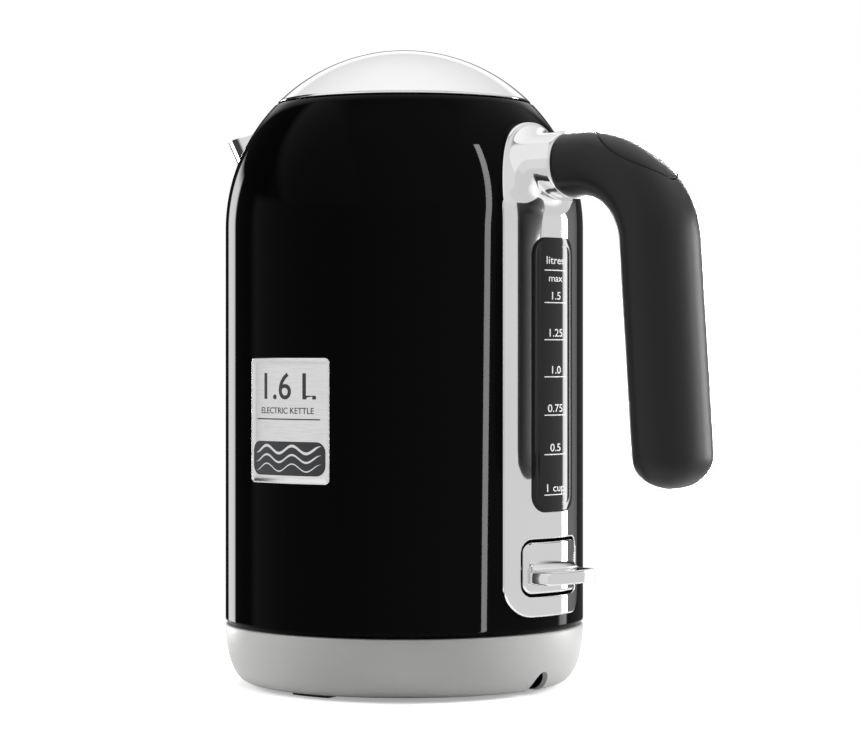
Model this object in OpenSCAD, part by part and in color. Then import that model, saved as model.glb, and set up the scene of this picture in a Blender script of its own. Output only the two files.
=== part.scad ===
// Electric kettle on a round power base. Millimetres, +Z up, +X towards the handle, -X towards the spout.
// The origin is on the table, on the axis of the round body.

/* [Body] */
// Outside diameter of the body and of the power base
body_d = 150; // [146:1:154]
// Thickness of the drawn steel body
body_wall = 1.5; // [1.3:0.1:1.8]
// Height of the straight part of the body, up to where the dome starts
body_h = 164.1; // [161:1:170]
// Outside diameter of the rolled rim of the mouth
mouth_d = 108; // [105:1:110]
// Width of the flat top of the rolled rim
rim_w = 2.6; // [2.3:0.1:3]
// Gap between the rim and the edge of the lid's dome
lid_gap = 0.4; // [0.3:0.1:0.8]
// Thickness of the lid's dome
lid_wall = 1.2; // [1:0.1:1.4]

/* [Power base] */
// Height of the power base's outer edge above the table
base_h = 25.7; // [24:0.5:28]
// Thickness of the power base's moulding
base_wall = 2.3; // [2:0.1:2.8]
// Width of the rounded lower edge of the power base
base_round = 10.5; // [9:0.5:12]
// Height by which the feet lift the base off the table
foot_h = 1.5; // [1.2:0.1:2]
// Length of a foot, as an angle round the base
foot_angle = 18; // [14:1:24]
// Radius of the connector that stands up from the base
plug_r = 17.5; // [16:0.5:18.5]
// Height of the connector above the base's top
plug_h = 11.8; // [10:0.2:12]
// Width of the arched notch where the cable leaves the base
notch_w = 11; // [9:0.5:12]

/* [Rear plate and handle] */
// Width of the plate behind the handle
plate_w = 49; // [48:0.5:51]
// Thickness of the plate at its side edges
plate_t = 0.6; // [0.6:0.1:1]
// Radius of the plate's rounded face, across
face_r = 45; // [44:0.5:48]
// Distance of the handle neck's centre below the rim of the mouth
neck_down = 28.65; // [27.65:0.1:29.65]
// Width of the grip, across
grip_w = 38; // [36:0.5:39]
// Depth of the grip, from its inner to its outer side
grip_t = 27; // [26:0.5:28]
// How far the neck stands out from the body's side
neck_out = 14; // [13.5:0.5:16]
// Centre of the handle's arch, out from the body's side
arch_off = 20.6; // [20:0.2:23]
// Radius of the arch along the middle of the grip
arch_r = 33.5; // [32.5:0.5:35]
// Lean of the limb away from the body, in degrees
limb_lean = 4; // [2:0.5:6]
// Straight length of the limb
limb_l = 84; // [78:1:90]

/* [Water gauge] */
// Width of the gauge window
gauge_w = 28; // [27:0.5:28.5]
// Height of the window's lower end above the body's lower edge
gauge_up = 48.3; // [47.5:0.5:50]
// Distance of the window's upper end below the foot of the dome
gauge_down = 5.4; // [4.5:0.1:9]
// Depth of the window's front below the plate's face
gauge_in = 0.1; // [0.1:0.1:0.4]

/* [Switch] */
// Width of the opening round the rocker
switch_w = 36.6; // [35:0.2:38]
// Height of the opening round the rocker
switch_h = 23; // [22:0.2:24]
// Height of the opening's lower edge above the body's lower edge
switch_up = 14.7; // [14.2:0.1:15.2]
// Dark gap round the rocker
switch_gap = 1.1; // [1.1:0.1:1.4]
// Distance by which the shelf of the rocker stands out of the body
tab_out = 13.5; // [12:0.5:15]
// Thickness of the shelf
tab_t = 5.4; // [5:0.1:6]

/* [Spout] */
// Reach of the spout's lip, out from the body's side
lip_out = 21; // [18:1:24]
// Distance of the lip below the rim of the mouth
lip_down = 9.95; // [9:0.05:11]
// Thickness of the spout's sheet
spout_wall = 1.2; // [1:0.1:1.4]

/* [Badge] */
// Width of the badge plate
badge_w = 41.5; // [36:0.5:46]
// Height of the badge plate
badge_h = 50.2; // [44:0.1:56]
// Height of the badge's middle above the body's lower edge
badge_up = 85.2; // [76:0.2:96]
// Direction of the badge from the handle, in degrees round the body
badge_angle = -90; // [-100:1:-80]

/* [Hidden] */
$fn = 96;

// Clearances and common sizes
fit = 0.05;          // face to face between pieces of one body
press = 0.02;        // round a pin or screw held fast
run = 0.05;          // round a pin that turns
slip = 0.3;          // between pieces that move past each other
more = 1;            // overlap of a cutting shape with what it cuts
far = 400;           // longer than anything here
wide = 100;          // longer than any pin
screw_r = 1.5;
head_r = 2.9;
head_t = 1.8;
pin_r = 1.5;

// Body
R = body_d / 2;
Ri = R - body_wall;
// The plate's face is a cylinder round an axis between the body's axis and the plate
face_x = sqrt(pow(R + plate_t, 2) - pow(plate_w / 2, 2)) - sqrt(pow(face_r, 2) - pow(plate_w / 2, 2));
grip_x = R + neck_out;
arch_x = R + arch_off;
lip_x = R + lip_out;
body_lift = 0.6;     // of the kettle's lower edge above the base's outer edge
body_z0 = base_h + body_lift;
dome_z = body_z0 + body_h;
mouth_r = mouth_d / 2;
rim_z = dome_z + sqrt(R * R - mouth_r * mouth_r);
rim_ri = mouth_r - rim_w;
rim_h = 2.5;

// Power base
base_z0 = foot_h;
top_t = 2.5;
top_z0 = base_h - top_t;
seat_out = 7;        // of the raised ring from the base's edge
seat_in = 15;
base_plate_t = 2.2;
base_plate_r = R - base_wall - base_round - 0.2;
base_boss_r = 47;
base_boss_wall = 3;
base_boss_a = [60, 180, 300];
spool_r = 34;
spool_t = 2;
spool_slot = 10;
foot_w = 6;
foot_in = 0.8;
foot_r = base_plate_r - foot_w / 2 - 1;
foot_a = [-90, 30, 150];
plug_top = base_h + plug_h;
plug_foot = 12;      // length of the connector below the base's top
plug_flange = 6;
hub_r = plug_r + 0.4;
groove_r0 = 8;
groove_r1 = 11;
groove_deep = 6;
bore_r = 4;
contact_t = 0.8;

// Switch
switch_z = body_z0 + switch_up;
switch_mid = switch_z + switch_h / 2;
switch_px = R - 6;
switch_corner = 5;
rocker_w = switch_w - 2 * switch_gap;
rocker_h = switch_h - 2 * switch_gap;
rocker_deep = 3;
tab_z0 = switch_z + 5;
tab_round = 4.3;
tab_w = switch_w - 5.6;
tab_corner = 2;
bezel_deep = 8;
bezel_side = 2.5;
bezel_top = 1.2;
arm_t = 4;
lever_t = 3;
lever_w = 8;
lever_drop = 0.7;    // below the rocker's arm
lever_x = R - 25;
lever_z = switch_mid - arm_t / 2 - lever_drop - lever_t / 2;

// Heater, above the switch chamber
ledge_t = 1.5;
ledge_w = 4;
floor_t = 1.5;
floor_rim = 5;
seal_t = 1.9;
seal_foot = 1.5;
floor_z = switch_z + switch_h + bezel_top + 0.2 + ledge_t + seal_foot + floor_t;
spreader_r = 52;
spreader_t = 3;
spreader_z0 = floor_z - floor_t - fit - spreader_t;
element_r = 43;
element_d = 7;
element_turn = 290;
element_start = 35;
element_z = spreader_z0 - fit;
cold_r = 2.4;
cold_l = 16;
steam_a = 27;
steam_r = Ri - 11;
steam_d = 9;
steam_wall = 1.2;

// Underside of the kettle
socket_r = plug_r + 0.8;
socket_wall = 3.5;
socket_top = plug_top + 2.4;
socket_roof = 2;
socket_pin_r = 2.2;
unit_r = 34;
unit_z0 = socket_top + 2;
ear_w = 3.8;
cover_t = 2.2;
cover_rim = 8;
tab_up = 10;
screw_tab_z = body_z0 + tab_up;
screw_tab_t = 1.5;
screw_tab_w = 12;
boss_r = Ri - 13.5;
boss_a = [90, 210, 330];

// Handle, in the plane of symmetry
oval_e = 2.3;
neck_z = rim_z - neck_down;
arch_z = neck_z - arch_r;
plate_z0 = body_z0 + 6.6;
plate_top = rim_z - 10.45;
plate_corner = 11;
plate_shoulder = 38;
core_w = 12;
core_t = 6;
core_in = 6.5;
core_l = 50;
core_r = arch_r - core_in;
core_gap = 0.15;
neck_screw_y = 11;
neck_screw_z = neck_z - 3;
grip_screw_at = [15, 40];   // down the limb from the arch's end
end_lap = 0.5;       // of the grip's straight end inside the arch
end_step = 0.06;     // by which that end is smaller
rod_r = 2;
rod_gap = 0.6;
rod_z = neck_z + grip_t / 2 - 8.3;

// Thumb button, at the crown of the arch
pad_a = 31;
pad_half = 20.6;
pad_skirt = 1.8;
pad_travel = 3;
arch_out = arch_r + grip_t / 2;
pad_sag = arch_out - sqrt(arch_out * arch_out - pad_half * pad_half);
pad_side = grip_w / 2 * pow(1 - pow(1 - 2 * pad_sag / grip_t, oval_e), 1 / oval_e) - 1;
pad_lens_r = (pad_half * pad_half + pad_side * pad_side) / (2 * pad_side);
pad_under = pad_sag + pad_skirt;
pad_floor = pad_under + pad_travel + 0.4;
pad_pocket = 3;
pad_spring_x = 4;
pad_spring_r = 2.4;
foot_x = arch_x + (arch_out - pad_under) * sin(pad_a) - pad_half * cos(pad_a) + 2.8;
foot_l = 3.5;

// Lid and its hinge
lid_r = rim_ri - lid_gap;
lid_z0 = rim_z + 0.55;
seat_w = 3.6;
seat_gap_w = 52;     // rear gap of the seat ring, for the lid's arms
hinge_x = rim_ri + 1.6;
hinge_z = rim_z - 9.45;
arm_y0 = 7;
arm_w = 4;
arm_reach = 14.5;
arm_low = 4.6;
cheek_y = 15.2;
cheek_t = 2;
cheek_x = 5;
bracket_low = 6.5;
bracket_t = 1.4;
liner_t = 1.4;
liner_z = lid_z0 + 0.2;
liner_z0 = rim_z - 4.2;
liner_r = rim_ri - seat_w - 2.3;
liner_wall = 1.8;
liner_cut_x = hinge_x - 10.4;
blade_x = hinge_x - 8.4;
blade_w = 7;
blade_t = 2;

// Gauge
gauge_z = body_z0 + gauge_up;
gauge_h = body_h - gauge_up - gauge_down;
gauge_mid = gauge_z + gauge_h / 2;
gauge_corner = 7;
gauge_slot_w = 15;
gauge_end = 9;
stud_y = 9.4;
stud_in = 4.6;
stud_r = 1.2;
clamp_t = 1.8;

// Spout and filter
lip_z = rim_z - lip_down;
filter_w = 36;
filter_z0 = lip_z - 35.5;
filter_z1 = lip_z - 9.5;
filter_mid = (filter_z0 + filter_z1) / 2;
filter_lip = 2.4;
// The filter stands clear of the dome at its upper corners
filter_high = filter_z1 + filter_lip - dome_z;
filter_half = filter_w / 2 + filter_lip;
filter_x = 1.3 - sqrt(pow(Ri, 2) - pow(filter_high, 2) - pow(filter_half, 2));
filter_bar = 3;

// Outlines

// A closed oval, w wide and h high, as a superellipse of power oval_e
function oval(w, h, n = 48) =
    [for (i = [0:n - 1]) let (a = 360 * i / n, c = cos(a), s = sin(a))
        [w / 2 * sign(c) * pow(abs(c), 2 / oval_e), h / 2 * sign(s) * pow(abs(s), 2 / oval_e)]];

// The half of that oval with x >= 0
function half_oval(w, h, n = 24) =
    [for (i = [0:n]) let (a = -90 + 180 * i / n, c = max(0, cos(a)), s = sin(a))
        [w / 2 * pow(c, 2 / oval_e), h / 2 * sign(s) * pow(abs(s), 2 / oval_e)]];

// A quarter superellipse down and in from (r, base_h), by w and h, for the base's side
function base_side(r, w, h, e = 2.15, n = 16) =
    [for (i = [0:n]) let (a = 90 * i / n)
        [r - w + w * pow(max(0, cos(a)), 2 / e), base_h - h * pow(sin(a), 2 / e)]];

// A line at radius r round the arch's centre, with a straight start at x0 and a limb l long
function handle_line(r, x0, l, n = 12) = concat(
    [[x0, arch_z + r]],
    [for (i = [0:n]) let (a = 90 - (90 - limb_lean) * i / n) [arch_x + r * cos(a), arch_z + r * sin(a)]],
    [[arch_x + r * cos(limb_lean) + l * sin(limb_lean),
      arch_z + r * sin(limb_lean) - l * cos(limb_lean)]]);

function reversed(v) = [for (i = [len(v) - 1:-1:0]) v[i]];

// A rectangle with round corners, centred
module round_rect(w, h, r) {
    union() {
        square([w - 2 * r, h], center = true);
        square([w, h - 2 * r], center = true);
        for (x = [-1, 1], y = [-1, 1])
            translate([x * (w / 2 - r), y * (h / 2 - r)]) circle(r = r);
    }
}

// Right half of the body's outline at radius r: a straight side and a spherical dome
module body_outline(r) {
    intersection() {
        union() {
            translate([0, body_z0 - far]) square([r, body_h + far]);
            translate([0, dome_z]) circle(r = r, $fn = 180);
        }
        translate([0, body_z0 - far]) square([far, 2 * far]);
    }
}

// Simple solids

// Extrudes an outline drawn across (y) and up (z) along +X, from x0 to x1
module along_x(x0, x1) {
    translate([x0, 0, 0]) rotate([90, 0, 90]) linear_extrude(x1 - x0) children();
}

// Extrudes an outline drawn in x and z across the kettle, from y0 to y1
module across(y0, y1) {
    translate([0, y1, 0]) rotate([90, 0, 0]) linear_extrude(y1 - y0) children();
}

module disc(r, z0, z1) {
    translate([0, 0, z0]) cylinder(r = r, h = z1 - z0, $fn = 180);
}

module ring(r0, r1, z0, z1) {
    difference() {
        disc(r1, z0, z1);
        disc(r0, z0 - more, z1 + more);
    }
}

// Thin round bars: up, along +X, and across the plane of symmetry
module bar_up(r, z0, z1) {
    translate([0, 0, z0]) cylinder(r = r, h = z1 - z0, $fn = 48);
}

module bar_x(r, x0, x1, y, z) {
    along_x(x0, x1) translate([y, z]) circle(r = r, $fn = 48);
}

module bar_across(r, w, x, z) {
    translate([x, w / 2, z]) rotate([90, 0, 0]) cylinder(r = r, h = w, $fn = 48);
}

// Copies a child to radius r at each angle of a
module round_about(r, a) {
    for (i = a) rotate([0, 0, i]) translate([r, 0, 0]) children();
}

module body_solid(r) {
    rotate_extrude($fn = 180) body_outline(r);
}

// The space between two offsets of the body's outside
module body_skin(r0, r1) {
    rotate_extrude($fn = 180) difference() {
        body_outline(r1);
        body_outline(r0);
    }
}

// A round wire of radius w wound at radius r, with n turns over the height h
module coil(r, w, n, h, seg = 14, sides = 6) {
    rings = n * seg;
    pts = [for (i = [0:rings], j = [0:sides - 1])
        let (a = 360 * i / seg, b = 360 * j / sides, q = r + w * cos(b))
        [q * cos(a), q * sin(a), h * i / rings + w * sin(b)]];
    walls = [for (i = [0:rings - 1], j = [0:sides - 1])
        let (p = i * sides, k = (j + 1) % sides)
        each [[p + j, p + sides + j, p + k], [p + k, p + sides + j, p + sides + k]]];
    start = [[for (j = [0:sides - 1]) j]];
    end = [[for (j = [sides - 1:-1:0]) rings * sides + j]];
    polyhedron(points = pts, faces = concat(walls, start, end), convexity = 10);
}

// Power base

module base_notch() {
    along_x(R - 30, R + more) union() {
        translate([0, base_z0 + notch_w / 4]) circle(d = notch_w);
        translate([-notch_w / 2, -more]) square([notch_w, base_z0 + notch_w / 4 + more]);
    }
}

module power_base_shell() {
    side = base_side(R, base_round, base_h - base_z0);
    inside = base_side(R - base_wall, base_round, base_h - base_z0 - base_wall);
    color("gainsboro") difference() {
        union() {
            rotate_extrude($fn = 180) difference() {
                polygon(concat([[hub_r, base_h]], side, [[hub_r, base_z0]]));
                polygon(concat([[hub_r - more, top_z0]], [for (p = inside) [p[0], min(p[1], top_z0)]],
                    [[R - base_wall - base_round, base_z0 - more], [hub_r - more, base_z0 - more]]));
            }
            ring(R - seat_in, R - seat_out, base_h - 0.5, body_z0);
            round_about(base_boss_r, base_boss_a)
                bar_up(screw_r + base_boss_wall, base_z0 + base_plate_t + fit, top_z0 + 0.5);
        }
        base_notch();
        round_about(base_boss_r, base_boss_a) bar_up(screw_r + press, base_z0, top_z0 - more);
    }
}

// Three arcs under the base, w wide, with extra degrees at each end
module feet_arcs(w, z0, z1, extra = 0) {
    for (a = foot_a) rotate([0, 0, a - foot_angle / 2 - extra])
        rotate_extrude(angle = foot_angle + 2 * extra, $fn = 180)
            translate([foot_r - w / 2, z0]) square([w, z1 - z0]);
}

module power_base_bottom() {
    plate_z1 = base_z0 + base_plate_t;
    color("dimgray") difference() {
        union() {
            disc(base_plate_r, base_z0, plate_z1);
            ring(spool_r, spool_r + spool_t, plate_z1 - 0.5, top_z0 - 4);
        }
        base_notch();
        round_about(base_boss_r, base_boss_a) {
            bar_up(screw_r + press, base_z0 - more, base_h);
            bar_up(head_r + 0.2, base_z0 - more, base_z0 + 1.2);
        }
        feet_arcs(foot_w + 0.2, base_z0 - more, base_z0 + foot_in, 0.4);
        translate([-spool_r - spool_t - more, -spool_slot / 2, plate_z1])
            cube([spool_t + 2 * more + 1, spool_slot, base_h]);
    }
}

module base_feet() {
    color("black") feet_arcs(foot_w, 0, base_z0 + foot_in - fit);
}

module base_connector() {
    color("dimgray") difference() {
        union() {
            disc(plug_r, base_h - plug_foot, plug_top);
            disc(plug_r + plug_flange, top_z0 - top_t, top_z0 - fit);
        }
        bar_up(bore_r, base_h - plug_foot / 2, plug_top + more);
        ring(groove_r0, groove_r1, plug_top - groove_deep, plug_top + more);
    }
}

module base_contacts() {
    color("goldenrod") {
        ring(bore_r - contact_t, bore_r - press, base_h - plug_foot / 2 + press, plug_top - more);
        ring(groove_r1 - contact_t, groove_r1 - press, plug_top - groove_deep + press, plug_top - more);
    }
}

module base_screws() {
    color("silver") round_about(base_boss_r, base_boss_a) {
        bar_up(screw_r, base_z0 + 0.6, top_z0 - 3);
        bar_up(head_r, base_z0 + 0.3, base_z0 + 1.15);
    }
}

// Kettle body

// Beak of the spout, made smaller all round by inset, cut off level at top
module spout_form(inset, top) {
    intersection() {
        hull() {
            translate([-lip_x + 7, 0, lip_z + 6]) sphere(r = 7 - inset, $fn = 32);
            translate([-lip_x + 7.6, 0, lip_z - 3]) sphere(r = 6 - inset, $fn = 32);
            translate([-R + 15, 0, lip_z - 22]) sphere(r = 11 - inset, $fn = 32);
            for (y = [-13, 13]) translate([-R + 22, y, lip_z + 4]) sphere(r = 10 - inset, $fn = 32);
        }
        translate([-far, -far, lip_z - 60]) cube([far - R + 28, 2 * far, top - lip_z + 60]);
    }
}

module spout() {
    color("silver") difference() {
        spout_form(0, lip_z);
        spout_form(spout_wall, lip_z + 5);
        body_solid(R + fit);
    }
}

module gauge_slot() {
    along_x(Ri - 9, R + more) translate([0, gauge_mid])
        round_rect(gauge_slot_w, gauge_h - 2 * gauge_end, switch_corner);
}

module gauge_studs(r, x0, x1) {
    for (y = [-stud_y, stud_y], z = [gauge_z + stud_in, gauge_z + gauge_h - stud_in])
        bar_x(r, x0, x1, y, z);
}

module neck_screws_at(r, x0, x1) {
    for (y = [-neck_screw_y, neck_screw_y]) bar_x(r, x0, x1, y, neck_screw_z);
}

module body_shell() {
    color("#0c0c0d") difference() {
        union() {
            rotate_extrude($fn = 180) {
                intersection() {
                    difference() {
                        body_outline(R);
                        body_outline(Ri);
                    }
                    translate([1, body_z0]) square([far, rim_z - body_z0]);
                }
                translate([rim_ri, rim_z - rim_h]) square([rim_w - 1.2, rim_h]);
                translate([Ri - ledge_w, floor_z - floor_t - seal_foot - ledge_t])
                    square([ledge_w + 0.4, ledge_t]);
            }
            round_about(boss_r, boss_a) translate([-screw_tab_w / 2, -screw_tab_w / 2, screw_tab_z])
                cube([Ri + 0.4 - boss_r + screw_tab_w / 2, screw_tab_w, screw_tab_t]);
        }
        round_about(boss_r, boss_a) bar_up(screw_r + press, screw_tab_z - more, screw_tab_z + 3);
        spout_form(spout_wall, lip_z - 1);
        gauge_slot();
        gauge_studs(stud_r + 0.2, R - 8, R + more);
        along_x(R - 14, R + more) translate([0, switch_mid]) round_rect(switch_w, switch_h, switch_corner);
        bar_x(rod_r + 0.8, R - 20, R + more, 0, rod_z);
        neck_screws_at(screw_r + 0.5, R - 20, R + more);
    }
}

module lid_seat_ring() {
    color("#151515") difference() {
        ring(rim_ri - seat_w, rim_ri - fit, rim_z - 3.4, rim_z + 0.25);
        translate([hinge_x - 13.2, -seat_gap_w / 2, rim_z - 10]) cube([30, seat_gap_w, 20]);
    }
}

module at_steam() {
    rotate([0, 0, steam_a]) translate([steam_r, 0, 0]) children();
}

module heater_plate() {
    color("silver") difference() {
        union() {
            disc(Ri - seal_t, floor_z - floor_t, floor_z);
            ring(Ri - seal_t - 1.2, Ri - seal_t, floor_z - floor_t, floor_z + floor_rim);
        }
        at_steam() bar_up(steam_d / 2 + 0.2, floor_z - 5, floor_z + 5);
    }
}

module heater_seal() {
    z0 = floor_z - floor_t - seal_foot + fit;
    color("dimgray") union() {
        ring(Ri - seal_t + fit, Ri - fit, z0, floor_z + floor_rim - 1);
        ring(Ri - ledge_w + 0.1, Ri - fit, z0, floor_z - floor_t - fit);
    }
}

module heat_spreader() {
    color("lightgray") disc(spreader_r, spreader_z0, spreader_z0 + spreader_t);
}

// The ends of the element, as angles along it
cold_a = [4, element_turn - 4];

module heating_element() {
    color("darkgray") rotate([0, 0, element_start]) union() {
        rotate_extrude(angle = element_turn, $fn = 120) translate([element_r, element_z]) intersection() {
            translate([0, -element_d / 2 + 0.6]) circle(d = element_d, $fn = 32);
            translate([-element_d, -2 * element_d]) square(2 * element_d);
        }
        round_about(element_r, cold_a) bar_up(cold_r, element_z - cold_l, element_z - 3);
    }
}

module control_unit() {
    color("ivory") difference() {
        union() {
            disc(unit_r, unit_z0, element_z - fit);
            rotate([0, 0, element_start]) round_about(element_r, cold_a)
                translate([-15, -ear_w, unit_z0]) cube([19, 2 * ear_w, 4]);
            for (y = [-lever_w / 2 - 1 - ear_w, lever_w / 2 + 1])
                translate([unit_r - 6, y, lever_z - 5]) cube([lever_x - unit_r + 10, ear_w, 9]);
        }
        rotate([0, 0, element_start]) round_about(element_r, cold_a)
            bar_up(cold_r + press, unit_z0 - more, element_z - 4);
        bar_across(pin_r + press, wide, lever_x, lever_z);
        translate([unit_r - 8, -lever_w / 2 - 1, lever_z - 6]) cube([12, lever_w + 2, 12]);
    }
}

module kettle_connector() {
    color("dimgray") difference() {
        union() {
            ring(socket_r, socket_r + socket_wall, body_z0, socket_top);
            disc(socket_r + socket_wall, socket_top - socket_roof, unit_z0 - fit);
        }
        bar_up(socket_pin_r + press, socket_top - 3, socket_top + 3);
    }
}

module kettle_contacts() {
    leaf_z0 = plug_top - 4.5;
    color("goldenrod") {
        bar_up(socket_pin_r, plug_top - 8, unit_z0 - 0.1);
        round_about(groove_r0 + 0.5, [0, 120, 240])
            translate([0, -2, leaf_z0]) cube([1, 4, socket_top - socket_roof - leaf_z0 - fit]);
    }
}

module bottom_cover() {
    color("#222222") difference() {
        union() {
            disc(Ri - 0.15, body_z0, body_z0 + cover_t);
            ring(Ri - 2.2, Ri - 0.15, body_z0, body_z0 + cover_rim);
            round_about(boss_r, boss_a) bar_up(screw_r + 3.5, body_z0, screw_tab_z - fit);
        }
        disc(socket_r + socket_wall + 0.15, body_z0 - more, body_z0 + tab_up);
        round_about(boss_r, boss_a) {
            bar_up(screw_r + press, body_z0 - more, screw_tab_z + more);
            bar_up(head_r + 0.3, body_z0 - more, body_z0 + 2.5);
        }
        round_about(44, [15:30:345]) translate([-6, -1.2, body_z0 - more]) cube([12, 2.4, 10]);
    }
}

module bottom_screws() {
    color("silver") round_about(boss_r, boss_a) {
        bar_up(screw_r, body_z0 + 1, screw_tab_z + 4);
        bar_up(head_r, body_z0 + 0.7, body_z0 + 2.45);
    }
}

module steam_tube() {
    color("whitesmoke") at_steam() difference() {
        union() {
            bar_up(steam_d / 2, floor_z - 12, dome_z + 10);
            bar_up(steam_d / 2 + 2, floor_z + fit, floor_z + 2);
        }
        bar_up(steam_d / 2 - steam_wall, floor_z - 13, dome_z + 11);
    }
}

// Filter, behind the spout

module filter_outline(grow) {
    translate([0, filter_mid]) round_rect(filter_w + 2 * grow, filter_z1 - filter_z0 + 2 * grow, 4 + grow);
}

module filter_holder() {
    color("#1a1a1a") intersection() {
        difference() {
            along_x(-R, filter_x - slip) filter_outline(filter_lip);
            along_x(-R - more, filter_x + more) filter_outline(0.4);
        }
        body_solid(Ri - fit);
    }
}

module filter_frame() {
    color("#2c2c2c") difference() {
        union() {
            along_x(filter_x, filter_x + 2) filter_outline(filter_lip);
            along_x(filter_x - 3.5, filter_x + more) filter_outline(0);
            along_x(filter_x + 1, filter_x + 8) translate([0, filter_z1 - 1.2])
                square([12, 2], center = true);
        }
        along_x(filter_x - 5, filter_x + 3) filter_outline(-filter_bar);
    }
}

module filter_mesh() {
    color("gray") along_x(filter_x - 1, filter_x - 0.4) difference() {
        filter_outline(-filter_bar - fit);
        for (i = [-3:3], j = [-3:3]) translate([i * 4, filter_mid + j * 2.8])
            square([2.6, 1.7], center = true);
    }
}

// Rear plate and handle

// Outline of the rear plate, across and up: round lower corners and a full round top
module plate_outline() {
    side_z = plate_top - plate_shoulder;
    c = plate_corner;
    half = plate_w / 2;
    lower = [for (a = [-90:10:0]) [half - c + c * cos(a), plate_z0 + c + c * sin(a)]];
    upper = [for (a = [0:6:84]) [half * pow(cos(a), 0.86), side_z + plate_shoulder * pow(sin(a), 0.86)]];
    right = concat(lower, upper);
    polygon(concat(right, [[0, plate_top]], [for (p = reversed(right)) [-p[0], p[1]]]));
}

// What lies inside the plate's rounded face, moved out by t: upright below, bent round the dome above
module face_solid(t) {
    translate([face_x, 0, body_z0]) cylinder(r = face_r + t, h = dome_z - body_z0, $fn = 180);
    translate([0, 0, dome_z]) rotate([90, 0, 0]) rotate_extrude(angle = 90, $fn = 180) intersection() {
        translate([face_x, 0]) circle(r = face_r + t, $fn = 180);
        translate([0, -far / 2]) square(far);
    }
}

// Oval disc across the neck at distance x, grown by dy and dz
module neck_disc(x, dy, dz) {
    along_x(x, x + 0.5) translate([0, neck_z]) polygon(oval(grip_w + 2 * dy, grip_t + 2 * dz, 32));
}

// The neck flares out towards the plate in three steps: distance, extra width, extra height
flare = [[R - 15, 5.4, 8], [R - 5, 3.2, 4], [R + 2, 1, 1.3], [R + 8, 0, 0]];

module neck_solid() {
    for (i = [0:len(flare) - 2]) hull() {
        neck_disc(flare[i][0], flare[i][1], flare[i][2]);
        neck_disc(flare[i + 1][0], flare[i + 1][1], flare[i + 1][2]);
    }
    along_x(R + 8, grip_x) translate([0, neck_z]) polygon(oval(grip_w, grip_t));
}

// The space of the steel strut, grown by g all round
module core_space(g) {
    t = core_t / 2 + g;
    across(-core_w / 2 - g, core_w / 2 + g) polygon(concat(
        handle_line(core_r + t, R + more - g, core_l + g),
        reversed(handle_line(core_r - t, R + more - g, core_l + g))));
}

module handle_plate() {
    color("silver") difference() {
        union() {
            intersection() {
                face_solid(0);
                along_x(20, R + 9) plate_outline();
            }
            intersection() {
                neck_solid();
                along_x(20, grip_x) plate_outline();
            }
        }
        core_space(core_gap);
        bar_x(rod_r + rod_gap, R - 20, grip_x + more, 0, rod_z);
        body_solid(R + fit);
        along_x(R - 30, R + 9) translate([0, gauge_mid])
            round_rect(gauge_w + 0.4, gauge_h + 0.4, gauge_corner + 0.2);
        along_x(R - 30, R + 9) translate([0, switch_mid]) round_rect(switch_w, switch_h, switch_corner);
        neck_screws_at(screw_r + press, R - 20, R + 8);
    }
}

module handle_core() {
    color("slategray") difference() {
        core_space(0);
        at_grip_screws() bar_up(screw_r + press, -core_t, core_t);
    }
}

// Puts a local frame on each grip screw, +Z towards the body
module at_grip_screws() {
    for (l = grip_screw_at) translate([
            arch_x + core_r * cos(limb_lean) + l * sin(limb_lean), 0,
            arch_z + core_r * sin(limb_lean) - l * cos(limb_lean)])
        rotate([0, -90 + limb_lean, 0]) children();
}

// Puts the frame of the arch's turning into the plane of symmetry
module at_arch() {
    translate([arch_x, 0, arch_z]) rotate([90, 0, 0]) children();
}

module grip_solid() {
    pts = oval(grip_t, grip_w);
    at_arch() union() {
        rotate([0, 0, limb_lean]) rotate_extrude(angle = 90 - limb_lean, $fn = 96)
            translate([arch_r, 0]) polygon(pts);
        translate([end_lap, arch_r, 0]) rotate([0, -90, 0]) linear_extrude(arch_x - grip_x - fit + end_lap)
            rotate([0, 0, 90]) polygon(oval(grip_t - end_step, grip_w - end_step));
        rotate([0, 0, limb_lean]) translate([arch_r, 0, 0]) {
            rotate([90, 0, 0]) linear_extrude(limb_l) polygon(pts);
            translate([0, -limb_l, 0]) rotate([0, 0, 180])
                rotate_extrude(angle = 180, $fn = 96) polygon(half_oval(grip_t, grip_w));
        }
    }
}

// Puts the button's frame at the crown of the arch, +Z outwards
module at_pad() {
    translate([arch_x, 0, arch_z]) rotate([0, pad_a, 0]) translate([0, 0, arch_out]) children();
}

module pad_outline(grow) {
    intersection_for(s = [-1, 1]) translate([0, s * (pad_lens_r - pad_side)])
        circle(r = pad_lens_r + grow, $fn = 120);
}

module handle_grip() {
    color("#1b1b1b") difference() {
        grip_solid();
        core_space(core_gap);
        at_pad() {
            translate([0, 0, -pad_floor]) linear_extrude(far) pad_outline(slip);
            translate([pad_spring_x, 0, -pad_floor - pad_pocket]) cylinder(r = pad_spring_r + 0.8, h = far);
        }
        bar_x(rod_r + rod_gap, grip_x - more, foot_x + 2, 0, rod_z);
        translate([foot_x - 3, -3.3, rod_z - 7]) cube([9, 6.6, 12]);
        at_grip_screws() {
            bar_up(screw_r + 0.1, -6, 6);
            bar_up(head_r + 0.3, core_t / 2 + 1.5, 20);
        }
    }
}

module handle_screws() {
    head_x = sqrt(pow(Ri, 2) - pow(neck_screw_z - dome_z, 2)) - 4;
    color("silver") {
        at_grip_screws() {
            bar_up(screw_r, -3, 5);
            bar_up(head_r, core_t / 2 + 1.6, core_t / 2 + 1.6 + head_t);
        }
        neck_screws_at(screw_r, head_x, R + 4);
        neck_screws_at(head_r, head_x, head_x + head_t);
    }
}

// Thumb button and lid release

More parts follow.
